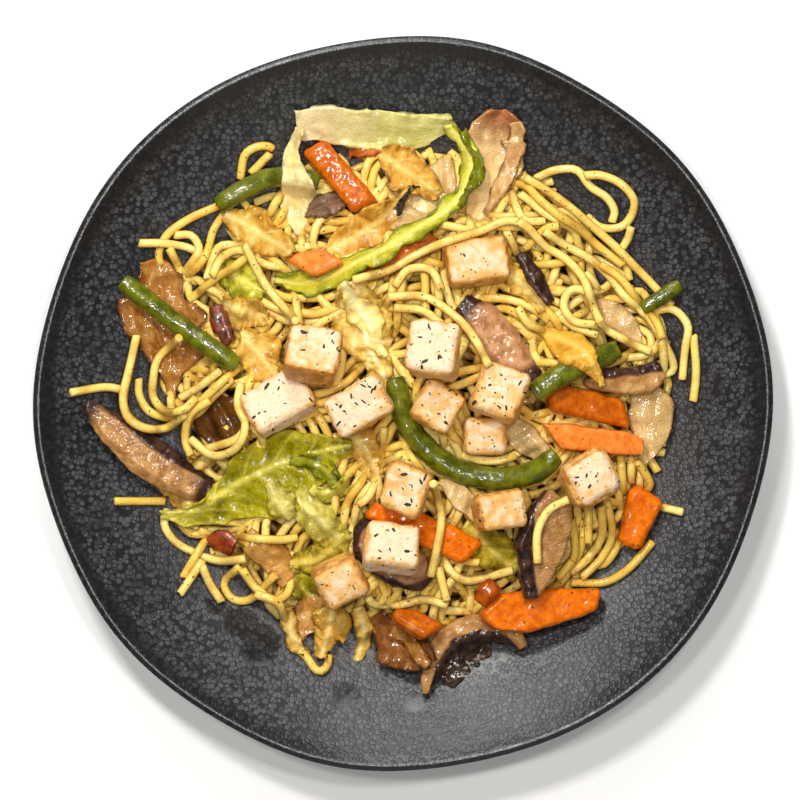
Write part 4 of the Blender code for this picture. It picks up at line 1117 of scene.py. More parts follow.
def make_bean(name, surface):
    """A length of bean: swellings over the seeds, a seam, and both ends cut."""
    route, diameter = BEANS[name]
    line = evenly(np.array(route) * MM, BEAN_STEP)
    spine = np.column_stack([line, blurred(middle_heights(name, line), 6)])
    count = len(spine)
    ahead, side, up = frame_along(spine)
    along = np.linspace(0, count * BEAN_STEP, count)
    swell = 0.97 + 0.02 * np.sin(math.tau * along / SEED_SPACING + 1)
    swell += 0.05 * noise(in_line(along), 9 * MM, seed=len(route))
    ends = np.minimum(along, along[-1] - along)
    swell *= 0.80 + 0.20 * smoothstep(0, BEAN_TAPER, ends)
    angles = np.linspace(0, math.tau, BEAN_SIDES, endpoint=False)
    past_seam = np.angle(np.exp(1j * (angles - SEAM_ANGLE)))
    seam = 1 - SEAM_DEPTH * np.exp(-((past_seam / SEAM_WIDTH) ** 2))
    radius = diameter * MM / 2 * swell[:, None] * seam[None]
    rings = spine[:, None] + side[:, None] * (np.cos(angles) * radius)[..., None]
    rings = rings + up[:, None] * (np.sin(angles) * radius * 0.94)[..., None]
    inner = [rings[last] + 0.3 * (spine[last] - rings[last]) + inward * 0.3 * MM * ahead[last]
             for last, inward in ((0, 1), (-1, -1))]
    rings = np.concatenate([inner[:1], rings, inner[1:]])
    count += 2
    faces = ring_faces(np.arange(count * BEAN_SIDES).reshape(count, BEAN_SIDES))
    points = rings.reshape(-1, 3)
    middle = np.repeat(np.concatenate([spine[:1], spine, spine[-1:]]), BEAN_SIDES, axis=0)
    wrinkle = rough_noise(points, 2.5 * MM, seed=3) * 0.035
    points = points + (points - middle) * wrinkle[:, None]
    cut = np.zeros((count, BEAN_SIDES))
    cut[[0, -1]] = 1
    obj = object_of(f"cooked_{name}", points, faces, cut=cut.ravel())
    return hand_over(obj, "bean", name, surface=surface)


# ---------------------------------------------------------------- mushrooms and pepper


def beside_route(points, route):
    """Where each point lies along a plan route, and how far to its left, both in metres."""
    line = evenly(np.array(route) * MM, ROUTE_STEP)
    left = sideways(line)
    gap = points[:, None, :2] - line[None]
    nearest = np.argmin((gap**2).sum(axis=2), axis=1)
    offset = (gap[np.arange(len(points)), nearest] * left[nearest]).sum(axis=1)
    return nearest * ROUTE_STEP, offset, len(line) * ROUTE_STEP


# Route, side of the dark skin (1 left, -1 right, 0 left and both ends), how far from the route it starts and
# how deep the gill lines are in mm, and the colour of the flesh.
MUSHROOMS = {
    1: (((-117, 0), (-106, -10), (-92, -21), (-79, -29), (-71, -32)), 0, 3.6, 0.24, "tan"),
    2: (((21, 37), (29, 30), (38, 19), (44, 11), (49, 8)), 0, 20, 0, "rosy"),
    3: (((66, 8), (80, 9), (95, 11)), 1, 0.8, 0, "tan"),
    4: (((50, -30), (45, -40), (45, -55), (47, -72)), -1, -3.0, 0.25, "tan"),
    5: (((8, -107), (11, -96), (18, -86), (28, -82), (39, -84), (44, -90)), -1, 1.2, 0, "tan"),
    6: (((-10, -38), (-17, -48), (-14, -61), (0, -68), (10, -66)), -1, -2, 0, "rosy"),
    7: (((43, 55), (48, 47), (54, 37)), 1, -9, 0, "tan"),
}
MUSHROOM_TINTS = {
    "tan": ((0.60, 0.32, 0.11), (0.34, 0.145, 0.035)),
    "rosy": ((0.60, 0.31, 0.14), (0.32, 0.13, 0.045)),
}
GILL_SPACING = 1.1 * MM
SKIN_ENDS, SKIN_BLUR = 9 * MM, 0.6 * MM


def make_mushroom(number, surfaces):
    name = f"mushroom_{number}"
    route, side, start, depth, tint = MUSHROOMS[number]
    obj = refined(f"sliced_{name}", name, SLICE_VOXEL)
    points, normals = shape_of(obj)
    along, offset, length = beside_route(points, route)
    uneven = rough_noise(points, 5 * MM, seed=number)
    ends = np.minimum(along, length - along)
    reach = (side or 1) * offset + 1.2 * MM * uneven
    skin = smoothstep(start * MM - SKIN_BLUR, start * MM + SKIN_BLUR, reach)
    if side == 0:
        skin = np.maximum(skin, smoothstep(SKIN_ENDS, 0.4 * SKIN_ENDS, ends + 2 * MM * uneven))
    phase = along / GILL_SPACING + 0.35 * offset / GILL_SPACING + 0.6 * uneven
    gill = np.abs(np.sin(math.pi * phase)) ** 4 * (1 - skin) if depth else np.zeros(len(points))
    gill *= smoothstep(0.1, 0.5, normals[:, 2]) * smoothstep(-2.5 * MM, 0, offset + 1 * MM * uneven)
    shift = 0.5 * MM * uneven + 0.16 * MM * noise(points, 1.7 * MM, seed=number + 20)
    shift += skin * 0.5 * MM * rough_noise(points, 2.8 * MM, seed=number + 30) - depth * MM * gill
    push_out(obj, points, normals, shift)
    set_attribute(obj, "skin", skin)
    set_attribute(obj, "gill", gill)
    return hand_over(obj, "mushroom", name, surface=surfaces[tint])


def make_lump(name, node, slot, surface, bumps):
    """A fine, uneven copy of a node that needs no more than that."""
    obj = refined(name, node, LUMP_VOXEL, soften=4)
    points, normals = shape_of(obj)
    shift = bumps * MM * rough_noise(points, 4 * MM, seed=len(name))
    push_out(obj, points, normals, shift)
    return hand_over(obj, slot, node, surface=surface)


# ---------------------------------------------------------------- leaves and onion petals


def veins_of(along, across, length, count, draw):
    """1 on the middle rib and on the side veins that leave it at a slant, 0 between them."""
    total = np.exp(-((across / ((1.5 - 0.8 * along) * MM)) ** 2)) * (1.15 - 0.35 * along)
    for k in range(count):
        start = (k + draw.uniform(0.2, 0.8)) / count * 0.95
        reach = across * (1 if k % 2 else -1)
        slant = draw.uniform(0.7, 1.3)
        bend = 0.6 * MM * np.sin(reach / (2.5 * MM) + k)
        drift = (along - start) * length - np.maximum(reach, 0) * slant + bend
        branch = np.exp(-((drift / (0.5 * MM)) ** 2)) * (reach > 0) * np.exp(-reach / (9 * MM))
        total = np.maximum(total, 0.85 * branch)
    return np.clip(total, 0, 1)


def leaf_points(spine, widths, draw, frill):
    """A leaf's plan as a grid, with each place's share of the length and its distance left of the spine.

    A width is in mm, or a pair of them to the left and to the right of the spine.
    """
    line = evenly(np.array(spine) * MM, SHEET_CELL)
    rows = len(line) - 1
    pairs = np.array([width if isinstance(width, tuple) else (width / 2, width / 2) for width in widths]) * MM
    reach = np.stack([blurred(spread_along(pairs[:, k], rows + 1), 3) for k in (0, 1)], axis=1) + 0.3 * MM
    columns = max(6, int(reach.sum(axis=1).max() / SHEET_CELL))
    side = np.linspace(-1, 1, columns + 1)
    along = np.linspace(0, 1, rows + 1)
    length = rows * SHEET_CELL
    seed = int(draw.integers(1000))
    edges = [reach[:, k] * (1 + frill * rough_noise(in_line(along * length), 6 * MM, seed=seed + 7 * k))
             for k in (0, 1)]
    across = np.where(side[None] > 0, edges[0][:, None], edges[1][:, None]) * side[None]
    left = sideways(line)
    plan = line[:, None] + left[:, None] * across[..., None]
    flat = flat_places(plan)
    warp = sum(weight * np.stack([noise(flat, size * MM, seed + k) for k in (11, 12)], axis=1)
               for size, weight in ((7, 1.0), (2.8, 0.4)))
    plan = plan + warp.reshape(plan.shape) * (7 * frill * MM) * (0.25 + side[None, :, None] ** 2)
    return plan, along[:, None] + 0 * side, side[None] + 0 * along[:, None], across, length


def grid_heights(name, plan, shape):
    """Middle heights of a thin node under a grid of plan points."""
    tree = tree_of(NODES[name].data)
    flat = plan.reshape(-1, 2)
    middle = flat.mean(axis=0)
    heights = np.empty(len(flat))
    for k, (x, y) in enumerate(flat):
        for pull in (1.0, 0.9, 0.75):
            px, py = middle + (np.array((x, y)) - middle) * pull if pull < 1 else (x, y)
            above = top_of(tree, px, py)
            if above:
                break
        if above:
            heights[k] = (above.z + bottom_of(tree, px, py).z) / 2
        else:
            heights[k] = tree.find_nearest(Vector((x, y, 0.03)))[0].z
    return heights.reshape(shape)


def draped(height, plan, over):
    """The sheet's heights, lifted over another node that it lies on."""
    tree = tree_of(NODES[over].data)
    hits = [top_of(tree, x, y) for x, y in plan.reshape(-1, 2)]
    least = np.array([hit.z + LIFT if hit else 0 for hit in hits]).reshape(height.shape)
    if not height.any():
        height = np.full(height.shape, least[least > 0].min() - 1 * MM)
    for _ in range(12):
        height = np.maximum(least, blurred_grid(height, 1))
    return height


def make_sheet(name, spine, widths, slot, surface, heap=None, frill=0.2, crumple=0.8, ruffle=1.2, waves=4,
               veins=6, thick=0.7, stripes=0, browned_end=0, curl=0.0, pleats=0, over=None):
    """A leaf or petal on a fine grid. It takes its height from its node, or lies on the heap or a topping.

    The veins branch from a middle rib, stripes run lengthwise, and pleats and waves are counted along it. A
    positive browned_end browns that share of the spine's far end, and a negative one its near end.
    """
    draw = draw_for(name)
    plan, along, side, across, length = leaf_points(spine, widths, draw, frill)
    height = np.zeros(along.shape)
    if name in NODES:
        height = blurred_grid(grid_heights(name, plan, along.shape), 3)
    if over:
        height = draped(height, plan, over)
    if heap is not None:
        at = cell_of(plan[..., 1]), cell_of(plan[..., 0])
        ground = np.minimum(heap.height[at], heap.ceiling[at])
        height = ground
        for _ in range(10):
            height = np.maximum(ground, blurred_grid(height, 1))
        height = np.minimum(height + 0.5 * MM, heap.ceiling[at])
    seed = int(draw.integers(1000))
    flat = flat_places(plan)
    broad, ridges = noise(flat, 9 * MM, seed), 0.8 - 2 * np.abs(noise(flat, 5 * MM, seed + 1))
    creases = 0.5 - 1.6 * np.abs(noise(flat, 2.4 * MM, seed + 2))
    fold = (broad + 0.8 * ridges + 0.35 * creases).reshape(along.shape)
    vein = veins_of(along, across, length, veins, draw) if veins else np.zeros(along.shape)
    if stripes:
        vein = np.clip(np.sin(math.pi * stripes * side + 0.8 * fold) ** 6, 0, 1) * 0.8
    wave = np.sin(math.tau * (waves * along + 0.3 * side) + seed)
    wave += 0.5 * np.sin(math.tau * 2.3 * waves * along + seed)
    height = height + (crumple * fold + ruffle * wave * np.abs(side) ** 2.5 + curl * side) * MM
    if veins:
        height = height + RIB_HEIGHT * vein * MM
    if pleats:
        height = height + PLEAT_HEIGHT * np.sin(math.tau * pleats * along + fold) * MM
    rim = smoothstep(0.80, 1.0, np.abs(side)) * 0.8
    if browned_end:
        end = along if browned_end > 0 else 1 - along
        rim = smoothstep(1 - abs(browned_end), 1, end + 0.06 * fold)
    points = np.concatenate([plan, height[..., None]], axis=2).reshape(-1, 3)
    rows, columns = along.shape[0] - 1, along.shape[1] - 1
    # The attribute fold also paints light and shade: lighter on the crests of the folds, darker in the
    # creases.
    obj = object_of(f"soft_{name}" if name in NODES else name, points, grid_faces(rows, columns),
                    vein=vein.ravel(), rim=rim.ravel(), fold=fold.ravel(), edge=np.abs(side).ravel())
    shell = obj.modifiers.new("Thickness", "SOLIDIFY")
    shell.thickness = thick * MM
    shell.offset = 0
    if heap is not None:
        np.maximum.at(heap.height, at, height + thick * MM / 2)
    return hand_over(obj, slot, *([name] if name in NODES else []), surface=surface)


def make_sheets(sheets, surfaces, heap=None):
    for name, (spine, widths, look) in sheets.items():
        shape = {key: value for key, value in look.items() if key not in ("slot", "surface")}
        make_sheet(name, spine, widths, look["slot"], surfaces[look["surface"]], heap, **shape)


GREEN = {"slot": "green_leaf", "surface": "green"}
YELLOW = {"slot": "yellow_leaf", "surface": "yellow"}
PALE = {"slot": "stem", "surface": "pale"}
ONION = {"slot": "onion", "surface": "onion", "veins": 0, "stripes": 5, "crumple": 0.4, "ruffle": 0.4,
         "frill": 0.08}
BROWN = {"slot": "browned_onion", "surface": "brown", "veins": 0, "stripes": 3, "crumple": 0.8, "ruffle": 0.8,
         "frill": 0.22}
SHEETS = {
    "onion_1": (((42, 105), (38, 100), (34.5, 91), (31.5, 82), (29, 74), (26.5, 66)),
                ((2, 5), (8, 13), (9.5, 12), (7, 8), (6.5, 6.5), (1.5, 2)),
                ONION | {"thick": 1.5, "surface": "wide", "browned_end": -0.5, "curl": -1.2, "crumple": 0.7,
                         "stripes": 7}),
    "onion_2": (((-5, 83), (8, 76), (20, 70)), (3, (6, 7), (6, 7), 4), ONION | {"surface": "wide"}),
    "onion_3": (((79, 9), (87, 6), (92, -3), (91, -14), (87, -24)), (2, (5, 5), (7, 9), (7, 9), (4, 4), 1),
                ONION | {"thick": 1.4}),
    "onion_4": (((-93, 53), (-91, 46), (-90, 40), (-90, 34), (-88, 28), (-86, 21), (-85, 12), (-85, 3)),
                ((2, 3), (9, 6), (9, 13), (12, 14), (17, 11), (12, 9), (11, 6), (4, 3), 1),
                BROWN | {"thick": 1.2, "stripes": 5, "crumple": 1.1}),
    "onion_5": (((71, 37), (80, 30), (87, 21)), (3, (5, 6), (5, 6), 2), ONION),
    "onion_6": (((-10, -78), (-2, -87), (10, -96)), (4, (8, 8), (9, 9), (5, 6), 2),
                BROWN | {"thick": 1.4, "surface": "dark", "crumple": 1.3, "ruffle": 1.6, "curl": 1.5}),
    "onion_7": (((-31, -70), (-35, -79), (-40, -87)), (4, (6, 5), (7, 5), (4, 4), 1),
                BROWN | {"surface": "umber"}),
    "leaf_1": (((-39, 102), (-30, 103), (-20, 102.5), (-8, 101.5), (4, 100.5), (12, 102), (18.5, 104.5)),
               ((5, 4), (6, 6), (5.5, 7.5), (6, 8), (6, 7.5), (5, 4), (1, 1)),
               PALE | {"surface": "stem", "thick": 2.6, "veins": 0, "stripes": 4, "frill": 0.06,
                       "crumple": 0.7, "ruffle": 0.7, "curl": 1.6, "browned_end": -0.6}),
    "leaf_2": (((17, 102), (25, 90), (21, 76), (5, 64), (-14, 53), (-34, 44), (-47, 45)),
               (3, 6, 6.5, 6, 5.5, 6, 8, 9, 3),
               GREEN | {"surface": "strip", "crumple": 0.5, "ruffle": 1.3, "thick": 1.2, "veins": 2,
                        "waves": 7, "frill": 0.24}),
    "leaf_3": (((-38, 101), (-41, 92), (-40, 82), (-38, 73), (-39, 62)), (2, 4, 6, 10, 13, 11, 2),
               PALE | {"surface": "tan", "veins": 0, "frill": 0.10, "over": "bean_1", "crumple": 1.0,
                       "curl": 1.2}),
    "leaf_4": (((-28, 56), (-20, 60), (-10, 66), (-2, 74), (3, 80)), (2, (5, 5), (6, 6), (5, 4), (2, 2), 1),
               YELLOW | {"surface": "amber", "crumple": 1.0, "browned_end": 0.24}),
    "leaf_5": (((-9, 92), (2, 85), (13, 77)), (3, (8, 7), (8, 8), (5, 5), 3),
               YELLOW | {"surface": "amber", "crumple": 1.6, "ruffle": 2.2}),
    "leaf_6": (((-20, 44), (-15, 28), (-7, 9)), (9, 18, 20, 17, 10, 3),
               PALE | {"slot": "yellow_leaf", "crumple": 2.6, "ruffle": 3.0, "veins": 6, "waves": 3,
                       "frill": 0.42}),
    "leaf_7": (((-60, 27), (-56, 22), (-51, 16), (-46, 9)), (3, 11, 15, 12, 2),
               YELLOW | {"crumple": 1.2, "ruffle": 2.0}),
    "leaf_8": (((-66, 70), (-53, 63), (-41, 55)), (3, 12, 14, 11, 3),
               YELLOW | {"crumple": 1.3, "ruffle": 2.0}),
    "leaf_9": (((-89, -41), (-79, -40), (-71, -36), (-59, -28.5), (-46, -22.4), (-31.5, -18), (-19, -15)),
               ((1, 1), (1.5, 5), (3, 10), (7, 15), (10.5, 18), (9.5, 16), (5, 9), (1, 1)),
               GREEN | {"surface": "heart", "crumple": 1.5, "ruffle": 2.0, "veins": 12, "waves": 4,
                        "thick": 0.8, "frill": 0.14, "browned_end": -0.22}),
    "leaf_10": (((-50, -29), (-46, -36), (-42, -43)), (3, (6, 4), (5, 6), 2),
                PALE | {"surface": "celery", "crumple": 1.5, "ruffle": 1.8, "curl": 1.5}),
    "leaf_11": (((-20, -11), (-14, -17), (-9, -26)), (4, (7, 6), (6, 6), 3),
                YELLOW | {"crumple": 1.3, "ruffle": 2}),
    "leaf_12": (((-42, -59), (-31, -57), (-20, -48)), (2, (4, 5), (6, 5), (5, 5), 3),
                GREEN | {"surface": "moss", "ruffle": 2.4, "crumple": 1.4}),
    "leaf_13": (((-25, -72), (-27, -82), (-30, -94)), (4, (7, 7), (8, 6), (5, 5), 2),
                YELLOW | {"crumple": 2.2, "ruffle": 3.0, "waves": 5, "frill": 0.38}),
    "leaf_14": (((50, 26), (58, 23.5), (66, 19), (70, 13), (72, 6)), (1, (3, 5), (5, 8), (4, 6), (2, 3), 1),
                YELLOW | {"frill": 0.24, "crumple": 1.3, "surface": "gold"}),
}

# Deep, light, rib, browned tip and hem colours.
LEAF_COLOURS = {
    "green": ((0.095, 0.085, 0.0005), (0.31, 0.25, 0.003), (0.60, 0.50, 0.06),
              (0.07, 0.065, 0.001), (0.26, 0.23, 0.004)),
    "moss": ((0.17, 0.11, 0.002), (0.46, 0.33, 0.012), (0.70, 0.54, 0.10),
             (0.10, 0.06, 0.002), (0.32, 0.21, 0.006)),
    "heart": ((0.105, 0.096, 0.0002), (0.37, 0.315, 0.001), (0.72, 0.62, 0.10),
              (0.76, 0.62, 0.16), (0.44, 0.37, 0.012)),
    "curl": ((0.035, 0.046, 0.0004), (0.17, 0.18, 0.001), (0.36, 0.34, 0.02),
             (0.03, 0.04, 0.0005), (0.24, 0.24, 0.003)),
    "strip": ((0.28, 0.275, 0.003), (0.58, 0.51, 0.025), (0.82, 0.73, 0.16),
              (0.14, 0.16, 0.002), (0.14, 0.18, 0.001)),
    "yellow": ((0.43, 0.19, 0.006), (0.73, 0.435, 0.075), (0.87, 0.65, 0.21),
               (0.34, 0.10, 0.005), (0.60, 0.31, 0.018)),
    "gold": ((0.52, 0.22, 0.006), (0.74, 0.40, 0.038), (0.86, 0.56, 0.11), (0.28, 0.10, 0.006)),
    "amber": ((0.43, 0.16, 0.007), (0.71, 0.375, 0.050), (0.86, 0.58, 0.16), (0.012, 0.006, 0.004)),
    "pale": ((0.52, 0.29, 0.018), (0.85, 0.60, 0.155), (0.97, 0.86, 0.48),
             (0.50, 0.24, 0.02), (0.54, 0.35, 0.024)),
    "celery": ((0.33, 0.27, 0.013), (0.58, 0.49, 0.095), (0.78, 0.68, 0.22),
               (0.36, 0.28, 0.015), (0.40, 0.33, 0.018)),
    "cream": ((0.66, 0.47, 0.085), (0.92, 0.76, 0.27), (0.97, 0.87, 0.42),
              (0.64, 0.40, 0.06), (0.70, 0.50, 0.07)),
    "tan": ((0.76, 0.55, 0.18), (0.95, 0.79, 0.39), (0.96, 0.83, 0.48), (0.76, 0.55, 0.22)),
    # Near black: a burnt tip, and painted shade inside the curl of a mushroom slice.
    "char": ((0.012, 0.007, 0.005), (0.07, 0.035, 0.02), (0.10, 0.05, 0.03), (0.01, 0.006, 0.005)),
    "dusk": ((0.10, 0.05, 0.028), (0.24, 0.13, 0.08), (0.3, 0.17, 0.1), (0.05, 0.02, 0.012)),
    "ember": ((0.36, 0.05, 0.004), (0.52, 0.13, 0.012), (0.6, 0.2, 0.03), (0.16, 0.02, 0.005)),
}
# Body, line and browned end colours.
ONION_COLOURS = {
    "onion": ((0.76, 0.54, 0.24), (0.58, 0.33, 0.10), (0.34, 0.12, 0.035)),
    # Painted light: the onion colours brightened for petals that tilt away from the lamps.
    "wide": ((0.98, 0.74, 0.36), (0.84, 0.54, 0.20), (0.38, 0.13, 0.04)),
    "brown": ((0.29, 0.085, 0.006), (0.54, 0.27, 0.060), (0.10, 0.016, 0.002)),
    "umber": ((0.50, 0.20, 0.030), (0.66, 0.36, 0.09), (0.22, 0.06, 0.008)),
    "toast": ((0.45, 0.215, 0.065), (0.72, 0.45, 0.18), (0.09, 0.026, 0.010)),
    "dark": ((0.14, 0.035, 0.005), (0.38, 0.15, 0.030), (0.030, 0.006, 0.002)),
    "sooty": ((0.05, 0.014, 0.002), (0.16, 0.06, 0.008), (0.030, 0.006, 0.002)),
    "stem": ((0.56, 0.52, 0.120), (0.74, 0.66, 0.26), (0.86, 0.68, 0.36), 0.30),
}

# Scraps that lie in the heap, half under noodles.
SCRAPS = {
    "scrap_leaf_1": (((-68, 51), (-60, 46), (-51, 41)), (3, (6, 7), (7, 7), (4, 6), 2),
                     GREEN | {"surface": "strip", "crumple": 1.5, "ruffle": 2.2, "waves": 3}),
    "scrap_leaf_2": (((-66, 36), (-59, 34), (-50, 32)), (5, (6, 7), (6, 6), (5, 5), 3),
                     YELLOW | {"pleats": 5, "crumple": 0.8}),
    "scrap_leaf_3": (((-43, -34), (-33, -40), (-22, -51)), (9, 14, 8),
                     PALE | {"surface": "celery", "crumple": 1.4}),
    "scrap_leaf_4": (((-44, -61), (-38, -67), (-32, -73)), (5, 9, 6), GREEN),
    "scrap_leaf_5": (((-89, -28), (-81, -35), (-74, -41)), (4, 9, 5), YELLOW | {"ruffle": 1.6}),
    "scrap_leaf_6": (((-77, -24), (-67, -17), (-57, -11)), (3, 6, 4), YELLOW | {"ruffle": 1.6}),
    "scrap_leaf_7": (((36, 50), (44, 43), (52, 34)), (5, 8, 4), YELLOW),
    "scrap_leaf_8": (((23, -44), (31, -52), (41, -62)), (7, 13, 7),
                     GREEN | {"surface": "moss", "crumple": 1.4, "ruffle": 2.0}),
    "scrap_leaf_9": (((-16.5, -75), (-14.5, -85), (-17.4, -95.5)), ((2, 2), (3.5, 3), (2.5, 2.5), (1, 1)),
                     YELLOW | {"crumple": 1.2, "veins": 2}),
    "scrap_onion_1": (((-72, 4), (-66, -7), (-60, -18)), (4, (8, 9), (9, 8), (6, 7), 3),
                      BROWN | {"surface": "sooty"}),
    # Dark gills and painted shade inside the curl of mushroom_5.
    "scrap_mushroom_1": (((33, -86), (26, -91), (20, -97), (17, -104)), (3, (5, 5), (6, 7), (5, 6), 2),
                         BROWN | {"slot": "mushroom", "surface": "char", "crumple": 1.0}),
    "scrap_mushroom_2": (((-36, 69), (-29, 72), (-22, 75)), (3, 6, 7, 3),
                         BROWN | {"slot": "mushroom", "surface": "dusk", "thick": 2.4}),
    "scrap_pepper_1": (((-20, 92), (-12, 94), (-4, 94)), (3, 5, 6, 3),
                       BROWN | {"slot": "pepper", "surface": "ember", "thick": 2.4}),
    "scrap_onion_2": (((-58, -49), (-49, -56), (-41, -64)), (8, 13, 8), BROWN | {"surface": "umber"}),
    "scrap_onion_3": (((37, -6), (44, -12), (52, -19)), (7, 11, 7), ONION),
    "scrap_onion_4": (((8, -79), (12, -86), (17, -92)), (7, 10, 6), ONION),
    "scrap_onion_6": (((-6, 67), (3, 71), (11, 79), (17, 90)), (4, (7, 8), (8, 9), (7, 7), 3),
                      ONION | {"stripes": 7}),
    "scrap_onion_5": (((15, -28), (21, -34), (28, -41)), (5, 8, 5), ONION),
}

# Scraps that lie on a topping.
LYING_ON = {
    "curl_leaf_1": (((-41, -20), (-35, -21), (-29, -24), (-25, -29), (-22, -32)), (2, 6, 8, 6, 2),
                    GREEN | {"surface": "curl", "crumple": 1.6, "ruffle": 2.4, "waves": 3, "over": "leaf_9"}),
    "burnt_tip": (((-2.5, 72), (0.5, 75), (3.5, 80)), ((1, 1), (2.2, 2), (1.4, 1.2), (0.6, 0.6)),
                  YELLOW | {"surface": "char", "crumple": 0.8, "frill": 0.4, "veins": 0, "over": "leaf_4"}),
    "curl_onion_1": (((42.5, 104), (43.0, 97), (40.5, 89), (36.5, 80), (29.5, 70)),
                     ((2, 4), (3, 6), (3, 6), (2.5, 4), (1, 1)),
                     BROWN | {"surface": "toast", "crumple": 0.9, "ruffle": 1.0, "frill": 0.34, "stripes": 5,
                              "over": "onion_1"}),
    "curl_onion_2": (((-4, -83), (3, -89), (10, -95.5)), ((2, 2), (3.5, 3), (1, 1)),
                     BROWN | {"crumple": 1.1, "ruffle": 1.6, "frill": 0.30, "stripes": 4, "over": "onion_6"}),
    "curl_leaf_5": (((-21, 45), (-17.5, 38), (-13, 30), (-9.5, 23), (-6, 17.5)),
                    ((1.5, 1.5), (4, 4), (5, 5), (3, 4), (0.6, 0.6)),
                    YELLOW | {"surface": "cream", "crumple": 1.3, "ruffle": 2.2, "waves": 3, "veins": 3,
                              "frill": 0.26, "over": "leaf_6"}),
    "curl_leaf_4": (((-42.5, -77), (-41, -84), (-36, -92.5)), ((1, 1), (3.5, 3), (3.5, 3.5), (1, 1)),
                    YELLOW | {"crumple": 1.8, "ruffle": 2.6, "waves": 5, "frill": 0.42, "over": "onion_7"}),
    "curl_leaf_3": (((21.5, 98), (25, 92), (26.5, 85), (25, 78), (22, 73)), (1.5, 3.0, 3.8, 3.0, 1.5),
                    GREEN | {"surface": "curl", "crumple": 0.8, "ruffle": 1.6, "waves": 4, "veins": 0,
                             "frill": 0.4, "over": "leaf_2"}),
    "curl_leaf_2": (((-33, -30), (-28, -32), (-23, -31), (-20, -26)), (2, 4, 5, 2),
                    GREEN | {"surface": "heart", "crumple": 1.2, "ruffle": 2.4, "waves": 3,
                             "over": "leaf_9"}),
}


# ---------------------------------------------------------------- specks


PEPPER_CRUMBS, PEPPER_SPAN = 1500, np.array([100 * MM, 100 * MM])
FLAKE_SIDES = 6
# Specks stay on surfaces that face up at least this much, and each has so many tries.
LEVEL_ENOUGH, TRIES = 0.25, 12


def flakes(name, places, normals, lengths, widths, surface, slot, draw, raised=0.12 * MM):
    """Many little flat flakes, each a squashed six-sided crumb turned at random on its surface."""
    sides = FLAKE_SIDES
    angles = np.linspace(0, math.tau, sides, endpoint=False)
    points, faces = [], []
    for place, normal, length, width in zip(places, normals, lengths, widths):
        turn = draw.uniform(0, math.tau)
        ahead = np.cross(normal, (math.cos(turn), math.sin(turn), 0.3))
        ahead /= np.linalg.norm(ahead)
        left = np.cross(normal, ahead)
        uneven = draw.uniform(0.75, 1.2, sides)
        ring = ahead * (np.cos(angles) * length * uneven)[:, None]
        ring = ring + left * (np.sin(angles) * width * uneven)[:, None]
        start = len(points)
        points += list(place + ring * 0.5 - normal * 0.1 * MM)
        points += list(place + ring * 0.35 + normal * (raised + draw.uniform(0, 0.1 * MM)))
        faces += [[start + k, start + (k + 1) % sides, start + sides + (k + 1) % sides, start + sides + k]
                  for k in range(sides)]
        faces += [[start + sides + k for k in range(sides)], [start + k for k in reversed(range(sides))]]
    return hand_over(object_of(name, points, faces, smooth=False), slot, surface=surface)


def scattered_on(tree, draw, count, low, high):
    """Random places on whatever is uppermost, with the surface's normals there."""
    places, normals = [], []
    for _ in range(count * TRIES):
        if len(places) == count:
            break
        x, y = draw.uniform(low, high)
        point, normal, _, _ = tree.ray_cast(Vector((x, y, 1)), DOWN)
        if point is not None and normal.z > LEVEL_ENOUGH:
            places.append(np.array(point))
            normals.append(np.array(normal))
    return places, normals


# ---------------------------------------------------------------- putting it together


FLOOR_LEVEL = -0.5 * MM
LAMP = 0.16, 7.5, (1.0, 0.98, 0.95)
# Place, size, power and colour of each light.
LIGHTS = {
    "window": ((-0.2, 1.35, 0.95), 0.8, 12, (1.0, 0.99, 0.97)),
    "near_fill": ((0.2, -1.3, 0.9), 1.4, 2, (1.0, 0.98, 0.96)),
    "key": ((-0.35, 0.75, 1.5), 0.20, 15, (1.0, 0.985, 0.955)),
    "lamp_1": ((0.28, 0.35, 1.9), *LAMP),
    "lamp_2": ((-0.35, 0.20, 1.9), *LAMP),
    "lamp_3": ((0.05, -0.28, 1.95), *LAMP),
}


def stage_the_scene():
    """A pale floor, a camera straight above, and the lights: two broad ones, a key and three small lamps."""
    scene = bpy.context.scene
    corners = [(x, y, FLOOR_LEVEL) for x, y in ((-3, -3), (3, -3), (3, 3), (-3, 3))]
    floor = object_of("floor", corners, [(0, 1, 2, 3)])
    paint = Paint("pale_floor", Base_Color=(0.93, 0.93, 0.93, 1), Roughness=0.7)
    floor.data.materials.append(paint.material)

    lens = bpy.data.cameras.new("camera")
    lens.sensor_width = SENSOR_WIDTH
    lens.lens = SENSOR_WIDTH * (CAMERA_HEIGHT - PLATE_HEIGHT) / FRAME_WIDTH
    lens.clip_start, lens.clip_end = 0.05, 20
    camera = bpy.data.objects.new("camera", lens)
    camera.location = (*FRAME_CENTRE, CAMERA_HEIGHT)
    scene.collection.objects.link(camera)
    scene.camera = camera

    for name, light in LIGHTS.items():
        add_light(name, *light)
    world = bpy.data.worlds.new("soft_studio")
    world.use_nodes = True
    background = world.node_tree.nodes["Background"].inputs
    background["Color"].default_value = (1.0, 0.97, 0.93, 1)
    background["Strength"].default_value = 0.05
    scene.world = world
    scene.view_settings.view_transform = "Standard"
    scene.view_settings.look = "None"


def add_light(name, place, size, power, colour):
    """A square soft light that faces the plate."""
    light = bpy.data.lights.new(name, "AREA")
    light.size = size
    light.energy = power
    light.color = colour
    obj = bpy.data.objects.new(name, light)
    obj.location = place
    obj.rotation_euler = (-Vector(place)).to_track_quat("-Z", "Y").to_euler()
    bpy.context.scene.collection.objects.link(obj)


